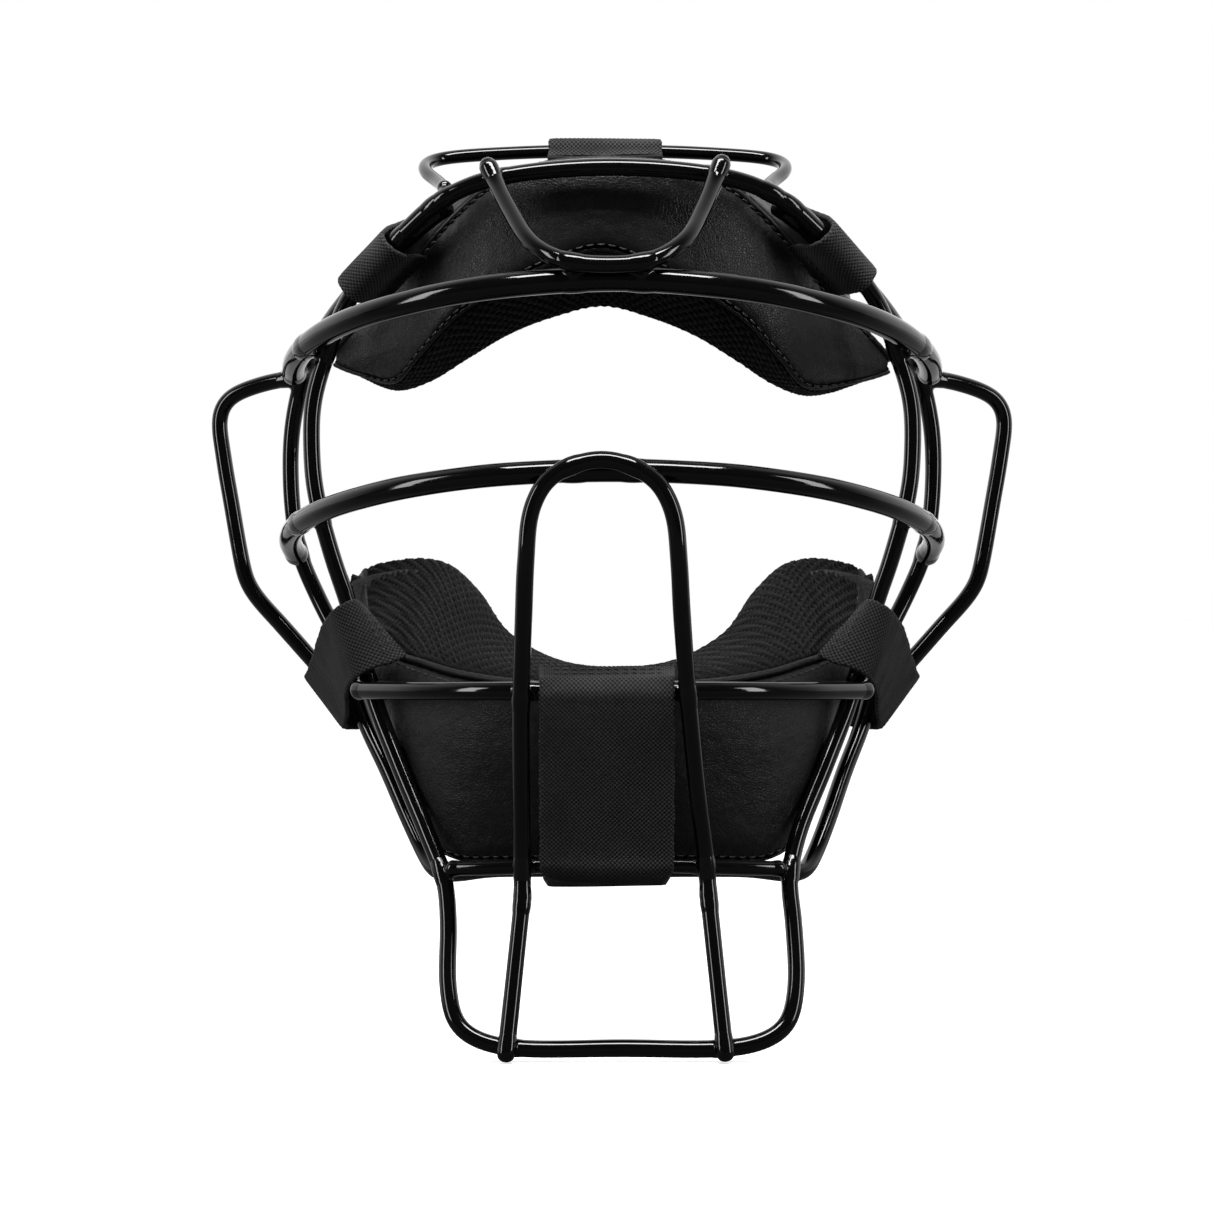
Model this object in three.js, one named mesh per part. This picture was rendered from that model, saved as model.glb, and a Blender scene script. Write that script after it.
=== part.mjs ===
// A catcher's mask: a cage of round steel wires, two padded cushions and six hook-and-loop straps.
// Millimetres. +X is the wearer's left, -Y is the way the wearer looks, +Z is up.
// The origin lies on the plane of the side wires, midway across and at the height of the wearer's nose.
import * as THREE from "three";
import { mergeVertices } from "three/addons/utils/BufferGeometryUtils.js";

// Wire radii
const FRAME_WIRE = 2.45;
const BROW_WIRE = 3.5;
const EYE_WIRE = 3.2;
const UPPER_CHIN_WIRE = 2.6;
const LOWER_CHIN_WIRE = 2.1;
const NOSE_WIRE = 2.4;
const TOP_LOOP_WIRE = 1.9;
const EAR_WIRE = 2.4;
const WIRE_SIDES = 8;

// Cushions
const LEATHER = 1.4; // wall of the front panels
const MESH_FABRIC = 3; // wall of the spacer mesh at the back
const FOAM_GAP = 2; // air between a cover and the foam inside it
const SLIT = 0.35; // cut between the two parts of a strap
const FRONT_SEAM = 0.95; // turn of the section, in radians, at which the front panel ends
const SEAM_GAP = 0.26; // turn left between the front panel and the mesh
const PAD_SQUARENESS = 6; // exponent of the rounded section of a cushion
const BROW_TILT = 0.013;
// Sideways offsets of a cushion's corner lines: front top, front bottom, rear top, rear bottom.
const BROW_SHIFTS = [0, -3.5, 0, -2.5];
const CHIN_SHIFTS = [0, 0, 1.5, 0];
// The offsets fade out between these distances from the middle.
const SHIFT_FADE_START = 56;
const SHIFT_FADE_END = 78;
const PAD_SIDES = 20;
const PAD_STEPS = 22;
const PAD_START = 0.004; // place along the rails of the first section
const TIP_SIZE = 0.34; // size of the section at the very tip
const TIP_SHARPNESS = 14; // the higher, the nearer to the tip a cushion starts to round off

// Straps
const WEBBING = 1.3;
const SIDE_STRAP = 19.8;
const LOWER_STRAP = 20;
const TOP_STRAP = 32;
const CHIN_STRAP = 36.4;
const WIDTH_SCALE = 100; // length given to a width direction while it is smoothed
const STEPS_PER_STATION = 2;

const finish = {
  wire: { color: 0x0b0b0c, roughness: 0.22, metalness: 0.1 },
  leather: { color: 0x131314, roughness: 0.5, metalness: 0 },
  mesh: { color: 0x0e0e0f, roughness: 0.85, metalness: 0 },
  foam: { color: 0x3a3a3c, roughness: 0.95, metalness: 0 },
  webbing: { color: 0x19191b, roughness: 0.9, metalness: 0 },
};

const mask = new THREE.Group();

function add(name, geometry, look) {
  const piece = new THREE.Mesh(geometry, new THREE.MeshStandardMaterial(finish[look]));
  piece.name = name;
  mask.add(piece);
}

function at(x, y, z) {
  return new THREE.Vector3(x, y, z);
}

function flip(point) {
  return at(-point.x, point.y, point.z);
}

// The route of a symmetric wire, from its right half, which starts on the centre plane.
function bothSides(half) {
  const others = half.slice(1).reverse().map(flip);
  return [...others, ...half];
}

function smooth(points, closed = false) {
  return new THREE.CatmullRomCurve3(points, closed, "centripetal");
}

function circle(radius) {
  const outline = [];
  for (let i = 0; i < WIRE_SIDES; i += 1) {
    const turn = ((i + 0.5) * 2 * Math.PI) / WIRE_SIDES;
    outline.push(new THREE.Vector2(radius * Math.cos(turn), radius * Math.sin(turn)));
  }
  return new THREE.Shape(outline);
}

function addWire(name, points, radius, steps) {
  const extrudePath = smooth(points);
  add(name, new THREE.ExtrudeGeometry(circle(radius), { steps, extrudePath }), "wire");
}

function addHoop(name, points, radius, steps) {
  add(name, new THREE.TubeGeometry(smooth(points, true), steps, radius, WIRE_SIDES, true), "wire");
}

// ---------------------------------------------------------------- cage

// The throat guard leans a little towards the wearer's left.
const THROAT_LEAN = 2.7;
const FRONT_LEAN_START = 58; // below the origin
const REAR_LEAN_START = 5;
const LEAN_END = 95;

function lean(point, start) {
  const share = THREE.MathUtils.smoothstep(-point.z, start, LEAN_END);
  return at(point.x + THROAT_LEAN * share, point.y, point.z);
}

// Front frame: one closed wire, from the forehead down both sides of the face to the throat guard.
const frontFrame = [
  at(0, -70, 122),
  at(34, -66, 119),
  at(48, -61, 113.5),
  at(58, -54.5, 105.5),
  at(68, -48, 95.5),
  at(75.4, -41.4, 86),
  at(80.9, -37, 73),
  at(85, -37.6, 58.5),
  at(85.4, -38.6, 44.5),
  at(84.2, -39.7, 32.5),
  at(79.2, -39.6, 13.5),
  at(75, -39, 1),
  at(67.4, -38, -27),
  at(60, -45, -45.5),
  at(52, -54, -64),
  at(48.2, -60, -76.5),
  at(48.1, -63.5, -87.5),
  at(48.1, -71.5, -106),
  at(45.2, -75.3, -115.6),
  at(36, -77.5, -120.5),
  at(0, -79, -121.4),
];
const frontHoop = [...frontFrame, ...frontFrame.slice(1, -1).reverse().map(flip)];
addHoop("front_frame_wire", frontHoop.map((point) => lean(point, FRONT_LEAN_START)), FRAME_WIRE, 84);

// Rear frame: one open wire, welded behind the forehead arc and passing under the chin cushion.
const rearFrame = [
  at(0, -55, -73.5),
  at(22, -52.5, -73.5),
  at(37, -47.5, -74),
  at(47.7, -42, -75.6),
  at(52.4, -37.5, -75),
  at(55.4, -32, -71),
  at(60, -25, -61.5),
  at(66, -16, -47.5),
  at(72.5, -7.5, -33.5),
  at(81, 2, -8),
  at(86.5, 5, 3),
  at(91.5, 6, 14.5),
  at(93.4, 5.5, 24),
  at(94.5, 5, 38),
  at(94, 4, 52),
  at(91, 1, 66),
  at(84.5, -15, 78),
  at(76.5, -30, 87.4),
  at(67.5, -39, 96),
  at(57, -47, 105),
  at(46.5, -55.4, 112.2),
];
const rearRoute = bothSides(rearFrame).map((point) => lean(point, REAR_LEAN_START));
addWire("rear_frame_wire", rearRoute, FRAME_WIRE, 74);

// Brow bar, crossing above the eyes in front of the frame.
const browBar = [
  at(0, -97, 89),
  at(22, -95.5, 88),
  at(42, -89.5, 86),
  at(59, -79.5, 83),
  at(71, -68, 80.3),
  at(80, -54.5, 77.4),
  at(86, -41.5, 74.6),
  at(90, -28, 72),
  at(92, -16.5, 69.8),
  at(92.6, -7.8, 68.2),
];
addWire("brow_bar", bothSides(browBar), BROW_WIRE, 40);

// Eye bar, crossing below the eyes.
const eyeBar = [
  at(0, -100, 37),
  at(29, -97, 36),
  at(42, -92.5, 34.8),
  at(58, -84, 32.6),
  at(69.5, -74.5, 30.2),
  at(78, -64, 28),
  at(85, -51, 25.5),
  at(89.6, -38, 23.2),
  at(92.4, -24, 20.8),
  at(93.2, -12, 18.2),
  at(92.2, -2.6, 15.4),
];
addWire("eye_bar", bothSides(eyeBar), EYE_WIRE, 40);

const upperChinBar = [
  at(0, -88, -23),
  at(20, -86, -23),
  at(38, -78.5, -23.1),
  at(54, -65.6, -23.3),
  at(65, -51.8, -23.4),
  at(71.8, -41.8, -23.5),
];
addWire("upper_chin_bar", bothSides(upperChinBar), UPPER_CHIN_WIRE, 24);

const lowerChinBar = [at(0, -72.5, -71.3), at(22, -70.3, -71.8), at(37, -65.3, -72.6), at(45.9, -60.9, -73)];
const lowerChinRoute = bothSides(lowerChinBar).map((point) => lean(point, FRONT_LEAN_START));
addWire("lower_chin_bar", lowerChinRoute, LOWER_CHIN_WIRE, 16);

// Nose guard: an inverted U that hangs from the eye bar in front of the mouth and the chin.
const noseGuard = [
  at(-24.8, -75.2, -80.6),
  at(-24.9, -74.9, -71),
  at(-25, -81.6, -51),
  at(-24.9, -90.8, -25),
  at(-24, -99.2, -2),
  at(-23.3, -104.2, 13),
  at(-21.8, -105.6, 26.4),
  at(-17.2, -105.6, 34.6),
  at(-9, -105.6, 38.8),
  at(-2.6, -105.6, 39.8),
  at(3.6, -105.6, 38.6),
  at(11.8, -105.6, 34),
  at(16.4, -105.6, 25.6),
  at(17.9, -104.2, 13),
  at(18.8, -99.2, -2),
  at(20.7, -91.2, -25),
  at(23.4, -81.8, -51),
  at(26, -74.9, -71),
  at(26.6, -75.2, -80.2),
];
addWire("nose_guard", noseGuard, NOSE_WIRE, 56);

function addThroatRod(name, top, foot) {
  const middle = top.clone().lerp(foot, 0.5);
  addWire(name, [top, middle, foot], NOSE_WIRE, 4);
}

addThroatRod("throat_rod_right", at(-24.9, -75.4, -81.3), at(-29.2, -83.4, -123));
addThroatRod("throat_rod_left", at(26.7, -75.4, -80.9), at(31, -83.5, -122.8));

// Bumper: a U of wire that joins the forehead arc to the brow bar.
const bumper = [
  at(-34.4, -70.8, 122.2),
  at(-32.8, -72.4, 118.6),
  at(-28, -82.5, 108.8),
  at(-21.6, -94.5, 98.6),
  at(-13.4, -101, 93.8),
  at(-1.4, -102.9, 92.4),
  at(10.6, -101, 93.8),
  at(19.4, -94.5, 99.4),
  at(24.6, -83, 108.8),
  at(28.7, -73.2, 118.8),
  at(30.3, -71.4, 123),
];
addWire("bumper", bumper, FRAME_WIRE, 34);

// Top loop, behind the forehead arc and a little to the wearer's right, for the strap over the head.
const TOP_OFFSET = -2;
const topLoop = [
  at(0, -22, 131.2),
  at(18, -22, 131.1),
  at(44, -24, 129.4),
  at(49.1, -26.5, 128.2),
  at(51.4, -32, 126.2),
  at(50.9, -39, 123.6),
  at(47.6, -47.5, 120.4),
  at(44.8, -57.8, 117.3),
];
const besideMiddle = (point) => at(point.x + TOP_OFFSET, point.y, point.z);
addWire("top_strap_loop", bothSides(topLoop).map(besideMiddle), TOP_LOOP_WIRE, 34);

// Ear loops, for the straps that go round the head.
function addEarLoop(name, side) {
  const route = [
    at(94.5, 2.4, 67),
    at(99.4, 4.5, 66.4),
    at(108.6, 7.4, 63.8),
    at(113.4, 8.8, 61.2),
    at(115.8, 9.6, 56.6),
    at(114.6, 10, 44),
    at(112.4, 10, 31),
    at(109.3, 10, 13.5),
    at(107.8, 9.8, 7.6),
    at(104.6, 9.2, 2.6),
    at(98, 7.6, -4.6),
    at(84.4, 3.4, -19.6),
    at(78.6, 0.6, -25.8),
  ];
  addWire(name, route.map((point) => at(side * point.x, point.y, point.z)), EAR_WIRE, 32);
}

addEarLoop("ear_loop_left", 1);
addEarLoop("ear_loop_right", -1);

// ---------------------------------------------------------------- cushions

// A cushion is a rounded section swept between four rails. Each station gives the four corners of its
// section, in the order front top, front bottom, rear top, rear bottom, from the centre plane to the tip.
const browStations = [
  [at(0, -64, 126), at(0, -66, 100), at(0, -40, 127), at(0, -40, 82.9)],
  [at(20, -62, 124.5), at(13.5, -65, 95.8), at(20, -39, 125), at(15, -39, 79.5)],
  [at(34, -57, 119), at(27.5, -62, 89), at(33, -36, 121.5), at(27, -36, 74.9)],
  [at(43, -50.5, 112), at(40.5, -56.5, 81), at(43, -33, 117), at(38, -31, 68.9)],
  [at(53, -42, 101.5), at(51, -50, 70), at(53, -28, 113), at(49, -25, 63.2)],
  [at(63, -34, 90), at(58.5, -41, 62.2), at(62.5, -19, 102), at(58, -20, 61.8)],
  [at(72, -25, 82.5), at(69.5, -31, 63.7), at(71, -9, 87), at(68.5, -13, 64.2)],
  [at(82.5, -15.5, 74.5), at(83, -18, 66.8), at(81, -3, 75), at(81, -5, 66.6)],
];

const chinStations = [
  [at(0, -82.5, -20.5), at(0, -66, -72.4), at(0, -52, -16), at(0, -44, -66)],
  [at(16, -80, -20), at(15, -64.5, -72.9), at(15, -49, -14), at(14, -43, -66)],
  [at(32, -72.5, -19.5), at(30, -60, -73.7), at(30.5, -40, -4.5), at(27, -38, -65.5)],
  [at(45, -62.5, -18.5), at(43.5, -54, -73.8), at(39.5, -29, 9.2), at(40, -32, -64)],
  [at(54.5, -52, -16.5), at(52, -47.5, -69), at(48, -20, 17.1), at(48, -26, -58)],
  [at(61.5, -41, -15), at(58.5, -40.5, -52.5), at(56, -13, 18.5), at(55, -19, -45)],
  [at(67, -30.5, -12.5), at(64.2, -32, -35.5), at(65, -8, 17), at(62, -10, -30)],
  [at(71, -18, -8), at(69.5, -20.5, -18.5), at(73, -3, 14.8), at(69, -1, -15)],
  [at(75, -8.5, 0), at(74.2, -11, -8), at(77.5, 3, 11.5), at(74.5, 5, -6)],
];

// The rails of the four corners, with the whole cushion sloping down to the wearer's left by the tilt.
function placed(point, tilt, shift) {
  const held = 1 - THREE.MathUtils.smoothstep(Math.abs(point.x), SHIFT_FADE_START, SHIFT_FADE_END);
  return at(point.x + shift * held, point.y, point.z - tilt * point.x);
}

function makeRails(stations, tilt, shifts) {
  const corner = (k) => bothSides(stations.map((station) => station[k]));
  return shifts.map((shift, k) => smooth(corner(k).map((point) => placed(point, tilt, shift))));
}

// A point of a section: across goes from -1 at the front to 1 at the rear, and up from -1 to 1.
function sectionPoint(corners, across, up) {
  const [frontTop, frontBottom, rearTop, rearBottom] = corners;
  const front = frontBottom.clone().lerp(frontTop, (up + 1) / 2);
  const rear = rearBottom.clone().lerp(rearTop, (up + 1) / 2);
  return front.lerp(rear, (across + 1) / 2);
}

// One line round part of the section, at a depth below the outer skin, from one angle to another.
function sectionLine(corners, depth, from, to, count) {
  const [frontTop, frontBottom, rearTop, rearBottom] = corners;
  const thickness = (frontTop.distanceTo(rearTop) + frontBottom.distanceTo(rearBottom)) / 4;
  const height = (frontTop.distanceTo(frontBottom) + rearTop.distanceTo(rearBottom)) / 4;
  const line = [];
  for (let i = 0; i < count; i += 1) {
    const turn = from + ((to - from) * i) / (count - 1);
    const power = 2 / PAD_SQUARENESS;
    const across = -Math.sign(Math.cos(turn)) * Math.abs(Math.cos(turn)) ** power;
    const up = Math.sign(Math.sin(turn)) * Math.abs(Math.sin(turn)) ** power;
    line.push(sectionPoint(corners, across * (1 - depth / thickness), up * (1 - depth / height)));
  }
  return line;
}

// Joins closed loops of points into one closed body. A loop has an even number of points, and each end is
// closed by a strip that runs between its first half and its second.
function loft(loops) {
  const around = loops[0].length;
  const positions = loops.flat().flatMap((point) => point.toArray());
  const faces = [];
  for (let i = 0; i + 1 < loops.length; i += 1) {
    for (let j = 0; j < around; j += 1) {
      const a = i * around + j;
      const b = i * around + ((j + 1) % around);
      faces.push(a, b, b + around, a, b + around, a + around);
    }
  }
  const last = (loops.length - 1) * around;
  for (let j = 0; j + 1 < around / 2; j += 1) {
    const [a, b, c, d] = [j, j + 1, around - 2 - j, around - 1 - j];
    faces.push(a, c, b, a, d, c);
    faces.push(last + a, last + b, last + c, last + a, last + c, last + d);
  }
  const geometry = new THREE.BufferGeometry();
  geometry.setAttribute("position", new THREE.Float32BufferAttribute(positions, 3));
  geometry.setIndex(faces);
  return faceOutward(mergeVertices(geometry));
}

function faceOutward(geometry) {
  const p = geometry.attributes.position;
  const index = geometry.index.array;
  let volume = 0;
  for (let i = 0; i < index.length; i += 3) {
    const [a, b, c] = [0, 1, 2].map((k) => new THREE.Vector3().fromBufferAttribute(p, index[i + k]));
    volume += a.dot(b.cross(c));
  }
  if (volume < 0) {
    for (let i = 0; i < index.length; i += 3) {
      [index[i + 1], index[i + 2]] = [index[i + 2], index[i + 1]];
    }
  }
  geometry.computeVertexNormals();
  return geometry;
}

// The corners of the section at a place along the rails from 0 to 1, drawn in to the middle at the two tips.
function cornersAt(rails, place) {
  const corners = rails.map((rail) => rail.getPoint(place));
  const tip = Math.abs(2 * place - 1);
  const size = TIP_SIZE + (1 - TIP_SIZE) * Math.sqrt(Math.max(1 - tip ** TIP_SHARPNESS, 0));
  const middle = corners.reduce((sum, corner) => sum.add(corner), at(0, 0, 0)).multiplyScalar(0.25);
  return corners.map((corner) => corner.lerp(middle, 1 - size));
}

function places(start, end, steps) {
  return Array.from({ length: steps + 1 }, (_, i) => start + ((end - start) * i) / steps);
}

// The front panel goes round the front and a little way over the edges. The mesh goes round the rest.
function addCushion(name, stations, tilt, shifts) {
  const rails = makeRails(stations, tilt, shifts);
  const meshStart = FRONT_SEAM + SEAM_GAP;
  const meshEnd = 2 * Math.PI - meshStart;
  const half = PAD_SIDES / 2;
  const along = places(PAD_START, 1 - PAD_START, PAD_STEPS);
  const line = (place, depth, from, to) => sectionLine(cornersAt(rails, place), depth, from, to, half);
  const frontLine = (place, depth) => line(place, depth, -FRONT_SEAM, FRONT_SEAM);
  const rearLine = (place, depth) => line(place, depth, meshStart, meshEnd);
  const coverLoop = (skin, wall) => (place) => [...skin(place, 0), ...skin(place, wall).reverse()];
  const cover = (skin, wall) => loft(along.map(coverLoop(skin, wall)));
  add(`${name}_front_cover`, cover(frontLine, LEATHER), "leather");
  add(`${name}_mesh_cover`, cover(rearLine, MESH_FABRIC), "mesh");
  const core = MESH_FABRIC + FOAM_GAP;
  const coreLoops = along.slice(2, -2).map((place) => [...frontLine(place, core), ...rearLine(place, core)]);
  add(`${name}_foam`, loft(coreLoops), "foam");
}

addCushion("brow_pad", browStations, BROW_TILT, BROW_SHIFTS);
addCushion("chin_pad", chinStations, 0, CHIN_SHIFTS);

// ---------------------------------------------------------------- straps

// A flat band: it follows the stations' middle points, and each station also gives the direction of its
// width. The outer face of the band is on the side of that direction crossed with the way along the band.
function band(stations, width, from, to) {
  const line = smooth(stations.map((station) => station.middle));
  const widths = smooth(stations.map((station) => station.across.clone().setLength(WIDTH_SCALE)));
  const intervals = stations.length - 1;
  const steps = Math.ceil((to - from) * STEPS_PER_STATION);
  const loops = places(from / intervals, to / intervals, steps).map((place) => {
    const middle = line.getPoint(place);
    const across = widths.getPoint(place).normalize();
    const half = across.clone().multiplyScalar(width / 2);
    const lift = across.clone().cross(line.getTangent(place)).setLength(WEBBING / 2);
    return [
      middle.clone().add(half).add(lift),
      middle.clone().sub(half).add(lift),
      middle.clone().sub(half).sub(lift),
      middle.clone().add(half).sub(lift),
    ];
  });
  return loft(loops);
}

// A strap is sewn to its cushion at one end. Past the hinge, which is one of its stations, its tail is free,
// and peels off the hook-and-loop.
function addStrap(name, stations, width, hinge) {
  const before = SLIT / 2 / stations[hinge].middle.distanceTo(stations[hinge - 1].middle);
  const after = SLIT / 2 / stations[hinge].middle.distanceTo(stations[hinge + 1].middle);
  add(`${name}_sewn_part`, band(stations, width, 0, hinge - before), "webbing");
  add(`${name}_tail`, band(stations, width, hinge + after, stations.length - 1), "webbing");
}

// Stations in a plane: each pair is a place along the plane's two directions from its origin.
function planeStations(origin, first, second, across, pairs) {
  return pairs.map(([a, b]) => ({
    middle: origin.clone().addScaledVector(first, a).addScaledVector(second, b),
    across,
  }));
}

function mirror(stations) {
  return stations.map(({ middle, across }) => ({ middle: flip(middle), across: flip(across).negate() }));
}

const back = at(0, 1, 0);
const up = at(0, 0, 1);
const topRoute = [
  [-41, 127.8], [-33, 127.8], [-27.4, 128.6], [-25, 131], [-24.2, 133.2], [-21.8, 134.2], [-19.4, 133],
  [-18.6, 129.5], [-19.8, 125.5], [-25, 120], [-32, 115], [-36.6, 109], [-37.8, 101],
];
const topStations = planeStations(at(TOP_OFFSET, 0, 0), back, up, at(1, 0, 0), topRoute);
addStrap("top_strap", topStations, TOP_STRAP, 7);

const chinRoute = [
  [-83, -16.8], [-87.2, -18.9], [-90.4, -19.8], [-91.9, -22.8], [-91, -27], [-84, -48], [-77, -68.5],
  [-76.3, -71.8], [-74.9, -74.1], [-71.5, -75.3], [-62, -76.6], [-52.5, -77.5], [-44.4, -74.8],
  [-39.9, -68.5], [-39.3, -60], [-40.4, -51],
];
addStrap("chin_strap", planeStations(at(-1.5, 0, 0), back, up, at(-1, 0, 0), chinRoute), CHIN_STRAP, 9);

// The upper straps go round the front frame and the rear frame where the two run side by side, and their
// tails lie back on the brow cushion. The left strap sits a little higher up the frame than the right one.
const alongFrame = at(0.638, 0.426, -0.638).normalize();
const towardRear = at(-0.328, 0.904, 0.273).projectOnPlane(alongFrame).normalize();
const outward = alongFrame.clone().cross(towardRear);
const leftCorner = at(64.8, -50.2, 98.7);
const rightCorner = at(67.4, -48.4, 96.1);
const upperRoute = [
  [8.4, -8], [4, -6.2], [-0.8, -4.6], [-4, -2], [-4.2, 1], [-2.2, 3.7], [1.5, 4.6], [6, 4.8], [11, 4.5],
  [14, 4.3], [17, 4.2], [20, 4.2], [24, 4.2], [28, 4.2],
];
const upperStations = (corner) => planeStations(corner, towardRear, outward, alongFrame, upperRoute);
addStrap("upper_strap_left", upperStations(leftCorner), SIDE_STRAP, 9);
addStrap("upper_strap_right", mirror(upperStations(rightCorner)), SIDE_STRAP, 9);

// The lower straps cross the front frame, and turn back round the rear frame and the end of the ear loop.
const alongCheek = at(-0.6, -0.45, -0.66);
const alongRear = at(-0.58, -0.36, -0.73);
const lowerStations = [
  { middle: at(64.5, -40.5, -7), across: alongCheek },
  { middle: at(69.8, -44.4, -7.4), across: at(-0.36, -0.05, -0.93) },
  { middle: at(74.8, -43.4, -9.8), across: at(-0.3, -0.02, -0.95) },
  { middle: at(79, -32, -14.4), across: at(-0.36, -0.17, -0.92) },
  { middle: at(81.7, -14, -22.2), across: at(-0.5, -0.3, -0.81) },
  { middle: at(83.5, -3, -26.5), across: alongRear },
  { middle: at(84.2, 3, -27.8), across: alongRear },
  { middle: at(82.4, 7.8, -28.2), across: alongRear },
  { middle: at(78.2, 9.6, -27.9), across: alongRear },
  { middle: at(73.4, 7.4, -27.2), across: alongRear },
  { middle: at(70.4, 3, -27), across: alongRear },
  { middle: at(68.6, -2.4, -27), across: alongRear },
];
addStrap("lower_strap_left", lowerStations, LOWER_STRAP, 8);
addStrap("lower_strap_right", mirror(lowerStations), LOWER_STRAP, 8);

export default mask;
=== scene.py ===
"""A catcher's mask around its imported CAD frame: a coated wire cage, two cushions and six hook-and-loop straps.

Lengths are millimetres until a mesh is made, which is in metres. +X is the wearer's left, -Y is the way the wearer
looks and +Z is up. The routes of the wires, cushions and straps are the CAD's own.
"""
import math

import bpy
import numpy as np
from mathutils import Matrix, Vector


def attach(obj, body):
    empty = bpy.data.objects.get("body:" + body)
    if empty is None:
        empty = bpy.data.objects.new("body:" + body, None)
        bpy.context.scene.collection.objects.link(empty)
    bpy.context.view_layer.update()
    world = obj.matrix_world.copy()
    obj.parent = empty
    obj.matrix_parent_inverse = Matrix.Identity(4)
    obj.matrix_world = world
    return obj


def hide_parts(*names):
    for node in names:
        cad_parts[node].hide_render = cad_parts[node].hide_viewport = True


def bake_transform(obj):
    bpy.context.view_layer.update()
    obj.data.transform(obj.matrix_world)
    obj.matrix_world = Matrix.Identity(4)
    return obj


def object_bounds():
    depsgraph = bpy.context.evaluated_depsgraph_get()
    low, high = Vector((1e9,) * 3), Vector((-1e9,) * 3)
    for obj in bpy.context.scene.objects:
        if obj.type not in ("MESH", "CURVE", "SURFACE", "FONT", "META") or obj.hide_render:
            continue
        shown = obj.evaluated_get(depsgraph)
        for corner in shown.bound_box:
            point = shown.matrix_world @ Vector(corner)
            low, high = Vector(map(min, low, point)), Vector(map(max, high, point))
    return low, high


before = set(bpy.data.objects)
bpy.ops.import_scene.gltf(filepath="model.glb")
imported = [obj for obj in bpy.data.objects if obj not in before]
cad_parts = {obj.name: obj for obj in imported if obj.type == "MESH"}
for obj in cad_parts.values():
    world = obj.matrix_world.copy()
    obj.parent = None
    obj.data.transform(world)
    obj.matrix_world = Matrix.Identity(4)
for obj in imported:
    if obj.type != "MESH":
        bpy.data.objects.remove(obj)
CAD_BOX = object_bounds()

MM = 0.001

# Wire radii, as in the CAD
FRAME_WIRE, BROW_WIRE, EYE_WIRE = 2.45, 3.5, 3.2
UPPER_CHIN_WIRE, LOWER_CHIN_WIRE, NOSE_WIRE = 2.6, 2.1, 2.4
TOP_LOOP_WIRE, EAR_WIRE = 1.9, 2.4
WIRE_SIDES = 20
WIRE_STEP = 1.2
BEND_EASING = 8
WELD_REACH = 3.6  # how far a weld's coating runs along each wire, beyond the wire's radius
WELD_SWELL, WELD_SINK = 0.3, 0.75  # rise over the wire at a weld, and the drop to its ends
WELD_VOXEL = 0.45
WELD_SMOOTHING = 7

# Cushions
SQUARENESS = 6
FRONT_SEAM = 0.95  # turn of the section at which the front panel ends
INSET = 0.7  # how far inside the CAD's skin the pads start before they swell
CROWN = 1.35  # fullness of the foam between the seams
SWELL_CAP = 1.5  # of the cloth's own movement
CLOTH_FRAMES = 20
EASE_ROUNDS = 30  # of smoothing over the folds that the cloth leaves
FRONT_COLUMNS, REAR_COLUMNS = 22, 38
COLUMNS = FRONT_COLUMNS + REAR_COLUMNS
PAD_ROWS, MESH_COLUMNS = 120, 200
LEATHER_FABRIC, MESH_FABRIC = 1.6, 2.4  # thicknesses of the two covers
FOAM_DEPTH, FOAM_ROWS_LEFT_OFF = 5.2, 5  # of the foam below the skin, and at each tip
PUCKER, FOLD = 0.1, 0.34  # heights of the leather's puckers along its seams and of its soft folds
HOLE_PITCH, HOLE_RISE = 3.0, 1.75  # of the holes in the mesh, along a row and between rows
HOLE_LENGTH, HOLE_HEIGHT, HOLE_DEPTH = 0.95, 0.58, 1.15  # half of a hole's length and of its height
RIB_HEIGHT = 0.08

# Straps
WEBBING = 1.3
WEAVE = 0.62  # step of the woven surface
SIDE_STRAP, LOWER_STRAP, TOP_STRAP, CHIN_STRAP = 19.8, 20, 32, 36.4

# Leans and offsets of the cage
THROAT_LEAN, LEAN_END = 2.7, 95
LEAN_STARTS = {"front_frame_wire": 58, "lower_chin_bar": 58, "rear_frame_wire": 5}
TOP_OFFSET = -2
BROW_TILT = 0.013
BROW_SHIFTS, CHIN_SHIFTS = (0, -3.5, 0, -2.5), (0, 0, 1.5, 0)  # of a cushion's corner lines, sideways
SHIFT_FADE = (56, 78)


# --- curves

def spline(points, places, closed=False):
    """Points of the centripetal Catmull-Rom curve through the points, at places from 0 to 1."""
    p = np.asarray(points, float)
    if closed:
        line = np.concatenate([p[-1:], p, p[:2]])
    else:
        line = np.concatenate([[2 * p[0] - p[1]], p, [2 * p[-1] - p[-2]]])
    spans = len(p) if closed else len(p) - 1
    x = np.clip(np.asarray(places, float), 0, 1) * spans
    i = np.minimum(x.astype(int), spans - 1)
    w = (x - i)[:, None]
    a, b, c, d = (line[i + k] for k in range(4))
    da, db, dc = (np.sum((v - u) ** 2, 1)[:, None] ** 0.25 for u, v in ((a, b), (b, c), (c, d)))
    db = np.where(db < 1e-4, 1, db)
    da, dc = np.where(da < 1e-4, db, da), np.where(dc < 1e-4, db, dc)
    start = ((b - a) / da - (c - a) / (da + db) + (c - b) / db) * db
    end = ((c - b) / db - (d - b) / (db + dc) + (d - c) / dc) * db
    return b + start * w + (3 * (c - b) - 2 * start - end) * w**2 + (2 * (b - c) + start + end) * w**3


def lengths_along(line):
    return np.concatenate([[0], np.cumsum(np.linalg.norm(np.diff(line, axis=0), axis=1))])


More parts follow.
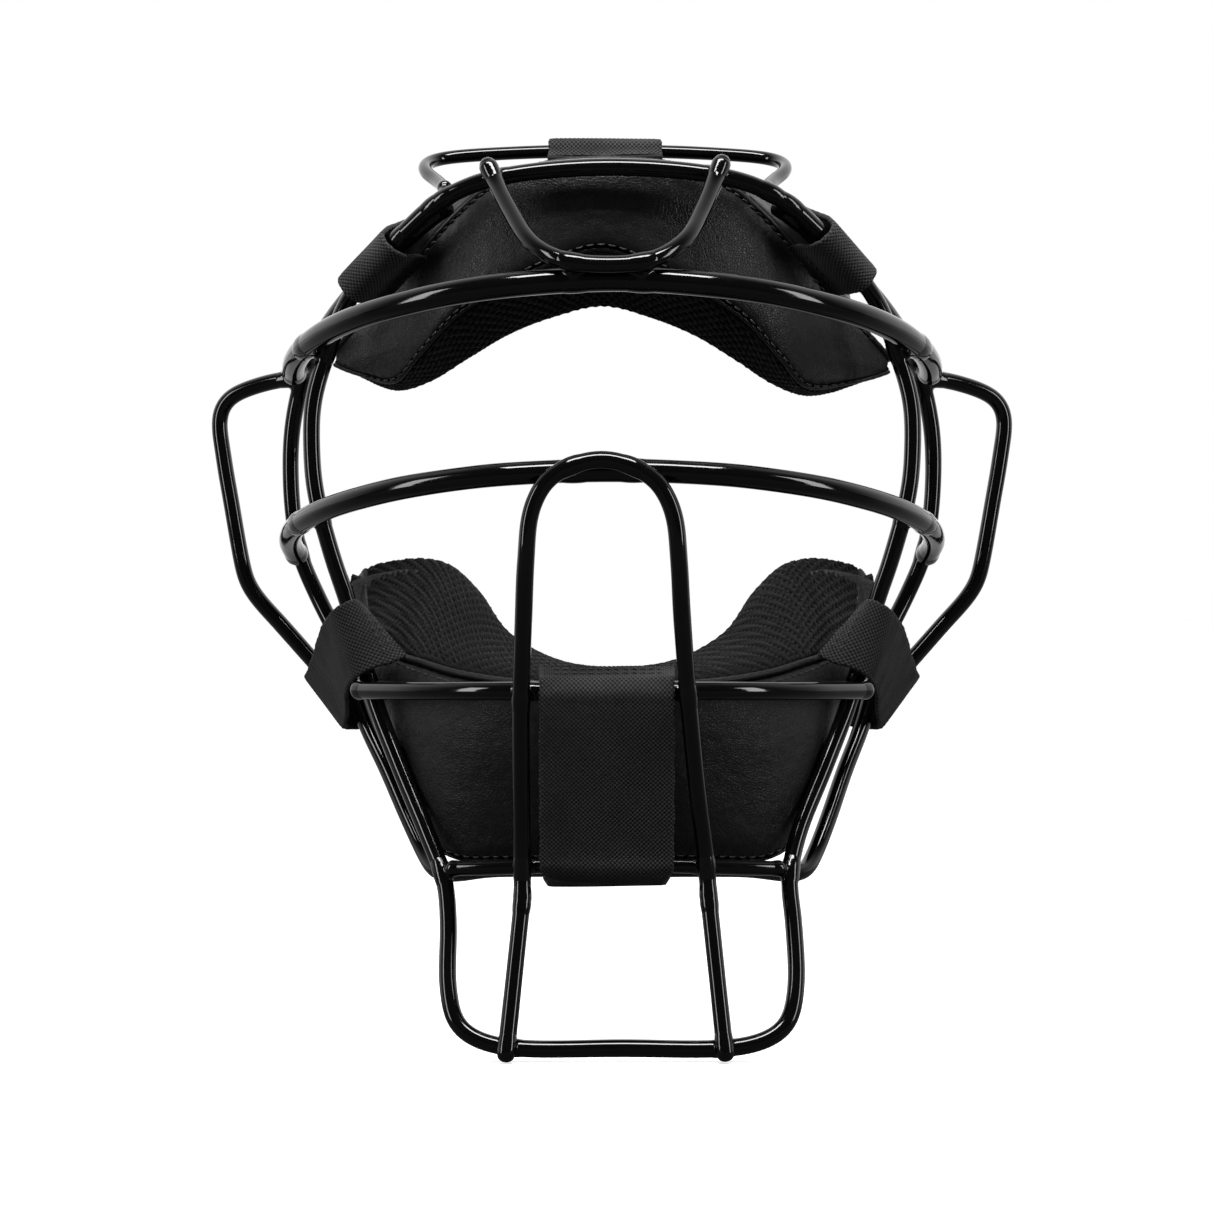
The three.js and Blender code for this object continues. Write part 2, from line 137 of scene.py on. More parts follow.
def evenly(line, count):
    """A polyline resampled at count evenly spaced points."""
    run = lengths_along(line)
    marks = np.linspace(0, run[-1], count)
    return np.stack([np.interp(marks, run, line[:, k]) for k in range(line.shape[1])], 1)


def wire_route(points, closed=False):
    """Even steps along a wire, with its bends eased as a rod bends."""
    fine = spline(points, np.linspace(0, 1, 60 * len(points)), closed)
    route = evenly(fine, int(lengths_along(fine)[-1] / WIRE_STEP) + 1)
    if closed:
        route = route[:-1]
    for _ in range(BEND_EASING):
        if closed:
            route = 0.5 * route + 0.25 * (np.roll(route, 1, 0) + np.roll(route, -1, 0))
        else:
            route[1:-1] = 0.5 * route[1:-1] + 0.25 * (route[:-2] + route[2:])
    return route


def unit(v):
    return v / np.maximum(np.linalg.norm(v, axis=-1, keepdims=True), 1e-9)


def smooth_step(x, low, high):
    t = np.clip((x - low) / (high - low), 0, 1)
    return t * t * (3 - 2 * t)


def both_sides(half):
    half = np.asarray(half, float)
    return np.concatenate([half[1:][::-1] * (-1, 1, 1), half])


# --- meshes

def grid_faces(rows, columns, wrap=False, wrap_rows=False):
    i, j = np.meshgrid(np.arange(rows if wrap_rows else rows - 1), np.arange(columns if wrap else columns - 1),
                       indexing="ij")
    down, right = (i + 1) % rows, (j + 1) % columns
    corners = [i * columns + j, i * columns + right, down * columns + right, down * columns + j]
    return np.stack(corners, -1).reshape(-1, 4)


def volume(points, faces):
    total = 0.0
    for face in faces:
        corners = points[np.array(face)]
        for k in range(1, corners.shape[1] - 1):
            total += np.sum(corners[:, 0] * np.cross(corners[:, k], corners[:, k + 1]))
    return total


def make(name, points, face_sets, material, uv=None):
    """A mesh object from points in millimetres and arrays of faces, turned so that its faces look outwards."""
    points = np.asarray(points, float)
    face_sets = [np.asarray(f) for f in face_sets if len(f)]
    if volume(points, face_sets) < 0:
        face_sets = [f[:, ::-1] for f in face_sets]
    mesh = bpy.data.meshes.new(name)
    mesh.from_pydata((points * MM).tolist(), [], [face for f in face_sets for face in f.tolist()])
    mesh.polygons.foreach_set("use_smooth", np.ones(len(mesh.polygons), bool))
    mesh.materials.append(material)
    if uv is not None:
        corners = np.zeros(len(mesh.loops), np.int32)
        mesh.loops.foreach_get("vertex_index", corners)
        layer = mesh.uv_layers.new(name="weave")
        layer.data.foreach_set("uv", (np.asarray(uv)[corners] * MM).astype(np.float32).ravel())
    mesh.validate()
    piece = bpy.data.objects.new(name, mesh)
    bpy.context.scene.collection.objects.link(piece)
    return piece


def tube_mesh(route, radii, closed=False, dome=0.6):
    """Points and faces of a round tube with domed ends."""
    if closed:
        tangent = unit(np.roll(route, -1, 0) - np.roll(route, 1, 0))
    else:
        tangent = unit(np.gradient(route, axis=0))
    side = np.zeros_like(route)
    start = np.cross(tangent[0], (0.3, 0.2, 0.93))
    side[0] = unit(start)
    for k in range(1, len(route)):
        across = side[k - 1] - tangent[k] * (side[k - 1] @ tangent[k])
        side[k] = across / np.linalg.norm(across)
    other = np.cross(tangent, side)
    twist = np.zeros(len(route))
    if closed:
        last = side[-1] - tangent[0] * (side[-1] @ tangent[0])
        gap = math.atan2(last @ other[0], last @ side[0])
        twist = -gap * np.arange(len(route)) / len(route)
    radii = np.broadcast_to(radii, len(route))
    centres, sizes = route, radii
    if not closed:
        lift = np.sin(np.linspace(0, math.pi / 2, 6)[1:-1])
        pull = np.cos(np.linspace(0, math.pi / 2, 6)[1:-1])
        head = [route[0] - tangent[0] * radii[0] * dome * a for a in lift[::-1]]
        tail = [route[-1] + tangent[-1] * radii[-1] * dome * a for a in lift]
        centres = np.concatenate([head, route, tail])
        sizes = np.concatenate([radii[0] * pull[::-1], radii, radii[-1] * pull])
        pad = len(lift)
        side = np.concatenate([side[:1].repeat(pad, 0), side, side[-1:].repeat(pad, 0)])
        other = np.concatenate([other[:1].repeat(pad, 0), other, other[-1:].repeat(pad, 0)])
        twist = np.zeros(len(centres))
    turn = np.linspace(0, 2 * math.pi, WIRE_SIDES, endpoint=False)[None, :] + twist[:, None]
    rings = centres[:, None] + sizes[:, None, None] * (
        np.cos(turn)[..., None] * side[:, None] + np.sin(turn)[..., None] * other[:, None])
    points = rings.reshape(-1, 3)
    faces = [grid_faces(len(centres), WIRE_SIDES, True, closed)]
    if not closed:
        ends = np.array([route[0] - tangent[0] * radii[0] * dome, route[-1] + tangent[-1] * radii[-1] * dome])
        first, last = len(points), len(points) + 1
        points = np.concatenate([points, ends])
        j = np.arange(WIRE_SIDES)
        k = (j + 1) % WIRE_SIDES
        base = (len(centres) - 1) * WIRE_SIDES
        faces.append(np.stack([np.full(WIRE_SIDES, first), k, j], 1))
        faces.append(np.stack([np.full(WIRE_SIDES, last), base + j, base + k], 1))
    return points, faces


def ball_mesh(centre, radii):
    turn = np.linspace(0, math.pi, 9)
    line = np.stack([np.cos(turn), np.sin(turn)], 1)
    around = np.linspace(0, 2 * math.pi, 16, endpoint=False)
    rings = np.array([[(s * math.cos(a), s * math.sin(a), c) for a in around] for c, s in line[1:-1]]).reshape(-1, 3)
    points = np.concatenate([rings, [(0, 0, 1), (0, 0, -1)]]) * radii + centre
    j = np.arange(16)
    k = (j + 1) % 16
    last = (len(line) - 3) * 16
    faces = [grid_faces(len(line) - 2, 16, True), np.stack([np.full(16, len(points) - 2), k, j], 1),
             np.stack([np.full(16, len(points) - 1), last + j, last + k], 1)]
    return points, faces


# --- materials

class Nodes:
    """A short way to write a node tree."""

    def __init__(self, name):
        self.material = bpy.data.materials.new(name)
        self.material.use_nodes = True
        self.tree = self.material.node_tree
        self.shader = self.tree.nodes["Principled BSDF"]

    def add(self, kind, settings=None, **inputs):
        node = self.tree.nodes.new(kind)
        for key, value in (settings or {}).items():
            setattr(node, key, value)
        for key, value in inputs.items():
            self.put(node, key.replace("_", " "), value)
        return node

    def put(self, node, key, value):
        socket = node.inputs[int(key[1:])] if key[0] == "i" and key[1:].isdigit() else node.inputs[key]
        if isinstance(value, bpy.types.NodeSocket):
            self.tree.links.new(value, socket)
        else:
            socket.default_value = value

    def math(self, operation, *values):
        node = self.tree.nodes.new("ShaderNodeMath")
        node.operation = operation
        for k, value in enumerate(values):
            self.put(node, f"i{k}", value)
        return node.outputs[0]

    def ramp(self, value, low, high, out_low, out_high):
        node = self.add("ShaderNodeMapRange", None, Value=value, From_Min=low, From_Max=high, To_Min=out_low,
                        To_Max=out_high)
        return node.outputs["Result"]

    def tint(self, value, dark, light):
        node = self.add("ShaderNodeValToRGB", None, Fac=value)
        for element, colour in zip(node.color_ramp.elements, (dark, light)):
            element.color = (*colour, 1)
        return node.outputs["Color"]

    def bump(self, height, strength, distance, normal=None):
        node = self.add("ShaderNodeBump", None, Height=height, Strength=strength, Distance=distance)
        if normal is not None:
            self.put(node, "Normal", normal)
        return node.outputs["Normal"]

    def finish(self, **inputs):
        for key, value in inputs.items():
            self.put(self.shader, key.replace("_", " "), value)
        return self.material


def place_of(nodes):
    return nodes.add("ShaderNodeTexCoord").outputs["Object"]


def noise(nodes, where, scale, detail=3, roughness=0.55):
    texture = nodes.add("ShaderNodeTexNoise", None, Vector=where, Scale=scale, Detail=detail, Roughness=roughness)
    return texture.outputs["Fac"]


def coated_wire():
    """Black dipped coating: glossy, a little uneven, with faint scuffs."""
    n = Nodes("coated_wire")
    where = place_of(n)
    flow = noise(n, where, 90, 2)
    scuffs = noise(n, where, 900, 4, 0.7)
    rough = n.math("ADD", n.ramp(flow, 0.3, 0.7, 0.05, 0.10), n.ramp(scuffs, 0.55, 0.8, 0, 0.10))
    colour = n.tint(scuffs, (0.0006, 0.0006, 0.0007), (0.002, 0.002, 0.0021))
    normal = n.bump(flow, 0.12, 0.0006)
    normal = n.bump(scuffs, 0.03, 0.0002, normal)
    return n.finish(Base_Color=colour, Roughness=rough, Normal=normal, Specular_IOR_Level=0.42)


def leather():
    """Black synthetic leather: fine pebbled grain, soft folds with painted shade in their hollows, slightly shinier on
    the high spots.
    """
    n = Nodes("leather")
    where = place_of(n)
    cells = n.add("ShaderNodeTexVoronoi", {"feature": "DISTANCE_TO_EDGE"}, Vector=where, Scale=1250.0)
    grain = n.ramp(cells.outputs["Distance"], 0.0, 0.22, 0.0, 1.0)
    fine = noise(n, where, 2600, 3)
    folds = noise(n, where, 42, 4, 0.6)
    rough = n.math("ADD", n.ramp(grain, 0, 1, 0.46, 0.36), n.ramp(folds, 0.3, 0.7, -0.05, 0.07))
    # The colour is darker in the hollows of the folds: painted shade in the creases.
    shade = n.math("MULTIPLY", grain, n.ramp(folds, 0.3, 0.7, 0.5, 1.0))
    colour = n.tint(shade, (0.0018, 0.0018, 0.0019), (0.0078, 0.0078, 0.0081))
    normal = n.bump(folds, 0.6, 0.0022)
    normal = n.bump(grain, 0.34, 0.00016, normal)
    normal = n.bump(fine, 0.12, 0.00008, normal)
    return n.finish(Base_Color=colour, Roughness=rough, Normal=normal, Specular_IOR_Level=0.3)


def spacer_mesh():
    """Knitted spacer mesh: matt yarn with fine ribs between the holes, and painted shade that darkens the colour in the
    holes.
    """
    n = Nodes("spacer_mesh")
    uv = n.add("ShaderNodeUVMap", {"uv_map": "weave"}).outputs["UV"]
    yarn = n.add("ShaderNodeTexWave", {"wave_type": "BANDS", "bands_direction": "DIAGONAL"}, Vector=uv, Scale=330.0,
                 Distortion=2.2, Detail=2.0, Detail_Scale=2.0).outputs["Fac"]
    fuzz = noise(n, place_of(n), 2300, 3)
    height = n.math("ADD", n.math("MULTIPLY", yarn, 0.6), n.math("MULTIPLY", fuzz, 0.5))
    # The depth attribute is the hole mask: it paints shade into the holes, taking the colour down towards the dark end.
    depth = n.add("ShaderNodeAttribute", {"attribute_name": "depth"}).outputs["Fac"]
    shade = n.math("MULTIPLY", n.ramp(height, 0.2, 0.9, 0.45, 1.0), n.ramp(depth, 0, 1, 1.0, 0.12))
    colour = n.tint(shade, (0.0006, 0.0006, 0.0007), (0.0165, 0.0165, 0.017))
    return n.finish(Base_Color=colour, Roughness=n.ramp(height, 0.2, 0.9, 0.95, 0.75),
                    Normal=n.bump(height, 0.55, 0.00025), Specular_IOR_Level=0.12, Sheen_Weight=0.04,
                    Sheen_Roughness=0.4)


def webbing(name, dark, light):
    """Woven hook-and-loop webbing: rows of small crossed yarns with a fuzzy loop surface."""
    n = Nodes(name)
    uv = n.add("ShaderNodeUVMap", {"uv_map": "weave"}).outputs["UV"]
    parts = n.add("ShaderNodeSeparateXYZ", None, Vector=uv)
    pitch = 2 * math.pi / (2 * WEAVE * MM)
    across = n.math("SINE", n.math("MULTIPLY", parts.outputs[0], pitch))
    along = n.math("SINE", n.math("MULTIPLY", parts.outputs[1], pitch))
    weave = n.ramp(n.math("MULTIPLY", across, along), -1, 1, 0, 1)
    fuzz = noise(n, uv, 3200, 4, 0.7)
    wear = noise(n, uv, 60, 3)
    height = n.math("ADD", n.math("MULTIPLY", weave, 0.7), n.math("MULTIPLY", fuzz, 0.6))
    shade = n.math("MULTIPLY", n.ramp(height, 0.3, 1.1, 0.0, 1.0), n.ramp(wear, 0.3, 0.7, 0.65, 1.0))
    return n.finish(Base_Color=n.tint(shade, dark, light), Roughness=n.ramp(fuzz, 0.3, 0.7, 0.95, 0.8),
                    Normal=n.bump(height, 0.8, 0.0004), Specular_IOR_Level=0.12, Sheen_Weight=0.05,
                    Sheen_Roughness=0.45)


def thread():
    n = Nodes("thread")
    where = place_of(n)
    ply = n.add("ShaderNodeTexWave", {"wave_type": "BANDS", "bands_direction": "DIAGONAL"}, Vector=where, Scale=1100.0,
                Distortion=0.5).outputs["Fac"]
    return n.finish(Base_Color=n.tint(ply, (0.006, 0.006, 0.0065), (0.03, 0.03, 0.031)),
                    Roughness=n.ramp(ply, 0, 1, 0.7, 0.5), Normal=n.bump(ply, 0.5, 0.0001))


def foam():
    n = Nodes("foam")
    where = place_of(n)
    cells = n.add("ShaderNodeTexVoronoi", None, Vector=where, Scale=1500.0).outputs["Distance"]
    return n.finish(Base_Color=n.tint(cells, (0.05, 0.05, 0.052), (0.02, 0.02, 0.021)),
                    Roughness=n.ramp(cells, 0, 1, 0.95, 0.85), Normal=n.bump(cells, 0.5, 0.0003))


COAT, LEATHER, MESH = coated_wire(), leather(), spacer_mesh()
WOVEN = webbing("webbing", (0.0004, 0.0004, 0.0005), (0.085, 0.085, 0.086))
THREAD, FOAM = thread(), foam()


# --- cage

WIRES = {
    "front_frame_wire": (FRAME_WIRE, True, [
        (0, -70, 122), (34, -66, 119), (48, -61, 113.5), (58, -54.5, 105.5), (68, -48, 95.5), (75.4, -41.4, 86),
        (80.9, -37, 73), (85, -37.6, 58.5), (85.4, -38.6, 44.5), (84.2, -39.7, 32.5), (79.2, -39.6, 13.5),
        (75, -39, 1), (67.4, -38, -27), (60, -45, -45.5), (52, -54, -64), (48.2, -60, -76.5),
        (48.1, -63.5, -87.5), (48.1, -71.5, -106), (45.2, -75.3, -115.6), (36, -77.5, -120.5),
        (0, -79, -121.4)]),
    "rear_frame_wire": (FRAME_WIRE, False, [
        (0, -55, -73.5), (22, -52.5, -73.5), (37, -47.5, -74), (47.7, -42, -75.6), (52.4, -37.5, -75),
        (55.4, -32, -71), (60, -25, -61.5), (66, -16, -47.5), (72.5, -7.5, -33.5), (81, 2, -8), (86.5, 5, 3),
        (91.5, 6, 14.5), (93.4, 5.5, 24), (94.5, 5, 38), (94, 4, 52), (91, 1, 66), (84.5, -15, 78),
        (76.5, -30, 87.4), (67.5, -39, 96), (57, -47, 105), (46.5, -55.4, 112.2)]),
    "brow_bar": (BROW_WIRE, False, [
        (0, -97, 89), (22, -95.5, 88), (42, -89.5, 86), (59, -79.5, 83), (71, -68, 80.3), (80, -54.5, 77.4),
        (86, -41.5, 74.6), (90, -28, 72), (92, -16.5, 69.8), (92.6, -7.8, 68.2)]),
    "eye_bar": (EYE_WIRE, False, [
        (0, -100, 37), (29, -97, 36), (42, -92.5, 34.8), (58, -84, 32.6), (69.5, -74.5, 30.2), (78, -64, 28),
        (85, -51, 25.5), (89.6, -38, 23.2), (92.4, -24, 20.8), (93.2, -12, 18.2), (92.2, -2.6, 15.4)]),
    "upper_chin_bar": (UPPER_CHIN_WIRE, False, [
        (0, -88, -23), (20, -86, -23), (38, -78.5, -23.1), (54, -65.6, -23.3), (65, -51.8, -23.4),
        (71.8, -41.8, -23.5)]),
    "lower_chin_bar": (LOWER_CHIN_WIRE, False, [
        (0, -72.5, -71.3), (22, -70.3, -71.8), (37, -65.3, -72.6), (45.9, -60.9, -73)]),
    "top_strap_loop": (TOP_LOOP_WIRE, False, [
        (0, -22, 131.2), (18, -22, 131.1), (44, -24, 129.4), (49.1, -26.5, 128.2), (51.4, -32, 126.2),
        (50.9, -39, 123.6), (47.6, -47.5, 120.4), (44.8, -57.8, 117.3)]),
}
NOSE_GUARD = [
    (-24.8, -75.2, -80.6), (-24.9, -74.9, -71), (-25, -81.6, -51), (-24.9, -90.8, -25), (-24, -99.2, -2),
    (-23.3, -104.2, 13), (-21.8, -105.6, 26.4), (-17.2, -105.6, 34.6), (-9, -105.6, 38.8), (-2.6, -105.6, 39.8),
    (3.6, -105.6, 38.6), (11.8, -105.6, 34), (16.4, -105.6, 25.6), (17.9, -104.2, 13), (18.8, -99.2, -2),
    (20.7, -91.2, -25), (23.4, -81.8, -51), (26, -74.9, -71), (26.6, -75.2, -80.2)]
BUMPER = [
    (-34.4, -70.8, 122.2), (-32.8, -72.4, 118.6), (-28, -82.5, 108.8), (-21.6, -94.5, 98.6),
    (-13.4, -101, 93.8), (-1.4, -102.9, 92.4), (10.6, -101, 93.8), (19.4, -94.5, 99.4), (24.6, -83, 108.8),
    (28.7, -73.2, 118.8), (30.3, -71.4, 123)]
EAR_LOOP = [
    (94.5, 2.4, 67), (99.4, 4.5, 66.4), (108.6, 7.4, 63.8), (113.4, 8.8, 61.2), (115.8, 9.6, 56.6),
    (114.6, 10, 44), (112.4, 10, 31), (109.3, 10, 13.5), (107.8, 9.8, 7.6), (104.6, 9.2, 2.6), (98, 7.6, -4.6),
    (84.4, 3.4, -19.6), (78.6, 0.6, -25.8)]
THROAT_RODS = {
    "throat_rod_right": [(-24.9, -75.4, -81.3), (-29.2, -83.4, -123)],
    "throat_rod_left": [(26.7, -75.4, -80.9), (31, -83.5, -122.8)],
}

# Directions of the slow waves in the thickness of the coating
COAT_WAVES = ((0.11, 0.07, 0.05), (0.05, -0.13, 0.19), (-0.2, 0.1, 0.09))
COAT_UNEVENNESS = 0.018
ROUTES, RADII = {}, {}


def add_wire(node, route, radius, closed=False, dome=0.6):
    """A smooth wire in the place of its faceted CAD node, with a coating that is very slightly uneven."""
    ROUTES[node], RADII[node] = route, radius
    waves = sum(np.sin(route @ np.array(way) + k) for k, way in enumerate(COAT_WAVES))
    points, faces = tube_mesh(route, radius + COAT_UNEVENNESS * waves, closed, dome)
    piece = make(f"{node}_coated", points, faces, COAT)
    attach(piece, "cage")
    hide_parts(node)


def lean(route, start):
    """The throat guard leans a little towards the wearer's left, from a depth below the origin."""
    share = smooth_step(-route[:, 2], start, LEAN_END)
    return route + np.stack([THROAT_LEAN * share, 0 * share, 0 * share], 1)


for node, (radius, hoop, half) in WIRES.items():
    half = np.asarray(half, float)
    route = np.concatenate([half, half[1:-1][::-1] * (-1, 1, 1)]) if hoop else both_sides(half)
    if node in LEAN_STARTS:
        route = lean(route, LEAN_STARTS[node])
    if node == "top_strap_loop":
        route = route + (TOP_OFFSET, 0, 0)
    add_wire(node, wire_route(route, hoop), radius, hoop)
add_wire("nose_guard", wire_route(NOSE_GUARD), NOSE_WIRE, dome=0.3)
add_wire("bumper", wire_route(BUMPER), FRAME_WIRE, dome=1)
for node, points in THROAT_RODS.items():
    add_wire(node, evenly(np.array(points), 36), NOSE_WIRE, dome=0.8)
for side, node in ((1, "ear_loop_left"), (-1, "ear_loop_right")):
    add_wire(node, wire_route(np.array(EAR_LOOP) * (side, 1, 1)), EAR_WIRE, dome=1)

# Welds, as wire, wire and a point near the joint. Each stands on both sides unless it says otherwise.
WELDS = [
    ("brow_bar", "front_frame_wire", (84, -39, 74)),
    ("brow_bar", "rear_frame_wire", (92, -6, 68)),
    ("eye_bar", "front_frame_wire", (86, -40, 25)),
    ("eye_bar", "rear_frame_wire", (92, 2, 17)),
    ("upper_chin_bar", "front_frame_wire", (70, -40, -23)),
    ("lower_chin_bar", "front_frame_wire", (48, -60, -73)),
    ("rear_frame_wire", "front_frame_wire", (48, -57, 112)),
    ("rear_frame_wire", "front_frame_wire", (66, -43, 97)),
    ("top_strap_loop", "front_frame_wire", (45, -59, 116)),
    ("nose_guard", "upper_chin_bar", (23, -88, -24)),
    ("nose_guard", "lower_chin_bar", (25, -72, -71)),
    ("nose_guard", "eye_bar", (14, -102, 37)),
    ("bumper", "brow_bar", (14, -99, 91)),
    ("bumper", "front_frame_wire", (30, -70, 120)),
]
EAR_WELDS = [("rear_frame_wire", (93, 2, 67)), ("rear_frame_wire", (78, 0, -25))]
ROD_WELDS = [("nose_guard", (26, -75, -81)), ("front_frame_wire", (29.5, -80, -123))]


def nearest(first, second, hint):
    """The places on two wires where they come closest, near a point."""
    a, b = ROUTES[first], ROUTES[second]
    near_a = np.flatnonzero(np.linalg.norm(a - hint, axis=1) < 14)
    near_b = np.flatnonzero(np.linalg.norm(b - hint, axis=1) < 14)
    gaps = np.linalg.norm(a[near_a][:, None] - b[near_b][None], axis=2)
    i, j = np.unravel_index(gaps.argmin(), gaps.shape)
    return near_a[i], near_b[j]


def weld_part(node, index):
    """The stretch of a wire at a weld, drawn in at its ends so that it sinks into the wire."""
    route, radius = ROUTES[node], RADII[node]
    reach = int((radius + WELD_REACH) / WIRE_STEP)
    picks = np.arange(index - reach, index + reach + 1)
    if node == "front_frame_wire":
        picks = picks % len(route)
    else:
        picks = picks[(picks >= 0) & (picks < len(route))]
    far = np.abs(np.arange(len(picks)) - np.flatnonzero(picks == index % len(route))[0]) / reach
    return tube_mesh(route[picks], radius + WELD_SWELL - WELD_SINK * far**2, dome=0.5)


def add_weld(name, first, second, hint):
    """The coating that fills the corner between two welded wires."""
    i, j = nearest(first, second, np.array(hint, float))
    a, b = ROUTES[first][i], ROUTES[second][j]
    apart = b - a
    gap = np.linalg.norm(apart)
    middle = a + apart * (RADII[first] + (gap - RADII[first] - RADII[second]) / 2) / gap
    small = min(RADII[first], RADII[second])
    parts = [weld_part(first, i), weld_part(second, j), ball_mesh(middle, small * 0.95)]
    points = np.concatenate([p for p, _ in parts])
    offsets = np.cumsum([0] + [len(p) for p, _ in parts])
    faces = [face for (_, sets), offset in zip(parts, offsets) for f in sets for face in (f + offset).tolist()]
    mesh = bpy.data.meshes.new(name)
    mesh.from_pydata((points * MM).tolist(), [], faces)
    source = bpy.data.objects.new(name + "_source", mesh)
    bpy.context.scene.collection.objects.link(source)
    remesh = source.modifiers.new("coat", "REMESH")
    remesh.mode, remesh.voxel_size = "VOXEL", WELD_VOXEL * MM
    ease = source.modifiers.new("ease", "SMOOTH")
    ease.factor, ease.iterations = 0.5, WELD_SMOOTHING
    made = bpy.data.meshes.new_from_object(source.evaluated_get(bpy.context.evaluated_depsgraph_get()))
    bpy.data.objects.remove(source)
    made.polygons.foreach_set("use_smooth", np.ones(len(made.polygons), bool))
    made.materials.clear()
    made.materials.append(COAT)
    piece = bpy.data.objects.new(name, made)
    bpy.context.scene.collection.objects.link(piece)
    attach(piece, "cage")


for number, (first, second, hint) in enumerate(WELDS):
    for side, tag in ((1, "left"), (-1, "right")):
        add_weld(f"weld_{number + 1}_{tag}", first, second, (side * hint[0], hint[1], hint[2]))
for side, tag in ((1, "left"), (-1, "right")):
    for number, (other, hint) in enumerate(EAR_WELDS):
        add_weld(f"ear_weld_{number + 1}_{tag}", f"ear_loop_{tag}", other, (side * hint[0], hint[1], hint[2]))
    for number, (other, hint) in enumerate(ROD_WELDS):
        add_weld(f"rod_weld_{number + 1}_{tag}", f"throat_rod_{tag}", other, (side * hint[0], hint[1], hint[2]))


# --- cushions

BROW_STATIONS = [
    [(0, -64, 126), (0, -66, 100), (0, -40, 127), (0, -40, 82.9)],
    [(20, -62, 124.5), (13.5, -65, 95.8), (20, -39, 125), (15, -39, 79.5)],
    [(34, -57, 119), (27.5, -62, 89), (33, -36, 121.5), (27, -36, 74.9)],
    [(43, -50.5, 112), (40.5, -56.5, 81), (43, -33, 117), (38, -31, 68.9)],
    [(53, -42, 101.5), (51, -50, 70), (53, -28, 113), (49, -25, 63.2)],
    [(63, -34, 90), (58.5, -41, 62.2), (62.5, -19, 102), (58, -20, 61.8)],
    [(72, -25, 82.5), (69.5, -31, 63.7), (71, -9, 87), (68.5, -13, 64.2)],
    [(82.5, -15.5, 74.5), (83, -18, 66.8), (81, -3, 75), (81, -5, 66.6)],
]
CHIN_STATIONS = [
    [(0, -82.5, -20.5), (0, -66, -72.4), (0, -52, -16), (0, -44, -66)],
    [(16, -80, -20), (15, -64.5, -72.9), (15, -49, -14), (14, -43, -66)],
    [(32, -72.5, -19.5), (30, -60, -73.7), (30.5, -40, -4.5), (27, -38, -65.5)],
    [(45, -62.5, -18.5), (43.5, -54, -73.8), (39.5, -29, 9.2), (40, -32, -64)],
    [(54.5, -52, -16.5), (52, -47.5, -69), (48, -20, 17.1), (48, -26, -58)],
    [(61.5, -41, -15), (58.5, -40.5, -52.5), (56, -13, 18.5), (55, -19, -45)],
    [(67, -30.5, -12.5), (64.2, -32, -35.5), (65, -8, 17), (62, -10, -30)],
    [(71, -18, -8), (69.5, -20.5, -18.5), (73, -3, 14.8), (69, -1, -15)],
    [(75, -8.5, 0), (74.2, -11, -8), (77.5, 3, 11.5), (74.5, 5, -6)],
]


def outline(start, end, count):
    """Even points of the rounded section between two turns: the first number goes to the rear, the second up."""
    turn = np.linspace(start, end, 800)
    power = 2 / SQUARENESS
    line = np.stack([-np.sign(np.cos(turn)) * np.abs(np.cos(turn)) ** power,
                     np.sign(np.sin(turn)) * np.abs(np.sin(turn)) ** power], 1)
    return evenly(line, count)


def placed(half, tilt, shift):
    """A corner line of a cushion on both sides, sloped, and offset sideways except near its ends."""
    route = both_sides(half)
    held = 1 - smooth_step(np.abs(route[:, 0]), *SHIFT_FADE)
    return route + np.stack([shift * held, 0 * held, -tilt * route[:, 0]], 1)


def pad_form(stations, tilt, shifts):
    """The skin of a cushion before it swells, as rows along it and columns round it: the front panel comes first."""
    stations = np.asarray(stations, float)
    u = np.linspace(0, 1, PAD_ROWS)
    places = 0.0006 + 0.9988 * (u + 0.09 * (u - 0.5 + 0.5 * np.cos(math.pi * u)))
    rails = np.stack([spline(placed(stations[:, c], tilt, shifts[c]), places) for c in range(4)], 1)
    tip = np.abs(2 * places - 1)
    size = np.sqrt(np.maximum(1 - tip**16, 0.0))
    middle = rails.mean(1, keepdims=True)
    rails = middle + (rails - middle) * (0.04 + 0.96 * size)[:, None, None]
    front = outline(-FRONT_SEAM, FRONT_SEAM, FRONT_COLUMNS + 1)
    rear = outline(FRONT_SEAM, 2 * math.pi - FRONT_SEAM, REAR_COLUMNS + 1)[1:-1]
    ring = np.concatenate([front, rear])
    rear_share, up_share = (ring[:, 0] + 1) / 2, (ring[:, 1] + 1) / 2
    front_top, front_bottom, rear_top, rear_bottom = (rails[:, c, None] for c in range(4))
    up_share, rear_share = up_share[None, :, None], rear_share[None, :, None]
    front_line = front_bottom + (front_top - front_bottom) * up_share
    rear_line = rear_bottom + (rear_top - rear_bottom) * up_share
    return front_line + (rear_line - front_line) * rear_share


def grid_normals(grid, wrap=True):
    """Outward normals of a grid, whose columns go round a closed form or part of one."""
    down = np.gradient(grid, axis=0)
    if wrap:
        round_ = np.roll(grid, -1, 1) - np.roll(grid, 1, 1)
    else:
        round_ = np.gradient(grid, axis=1)
    return unit(np.cross(down, round_))


def turned_out(normal, grid, middle):
    """Normals of a grid, all turned round if on the whole they point towards the middle."""
    return normal * np.sign(np.mean(np.sum(normal * (grid - middle), -1)))


def outward_normals(grid):
    return turned_out(grid_normals(grid), grid, grid.mean(1, keepdims=True))


def closed_faces(rows, columns):
    """Faces of a closed form whose first and last rows are closed by a fan round an added point each."""
    j = np.arange(columns)
    k = (j + 1) % columns
    end = rows * columns
    return [grid_faces(rows, columns, True), np.stack([np.full(columns, end), k, j], 1),
            np.stack([np.full(columns, end + 1), (rows - 1) * columns + j, (rows - 1) * columns + k], 1)]


def closed_points(grid):
    return np.concatenate([grid.reshape(-1, 3), [grid[0].mean(0), grid[-1].mean(0)]])


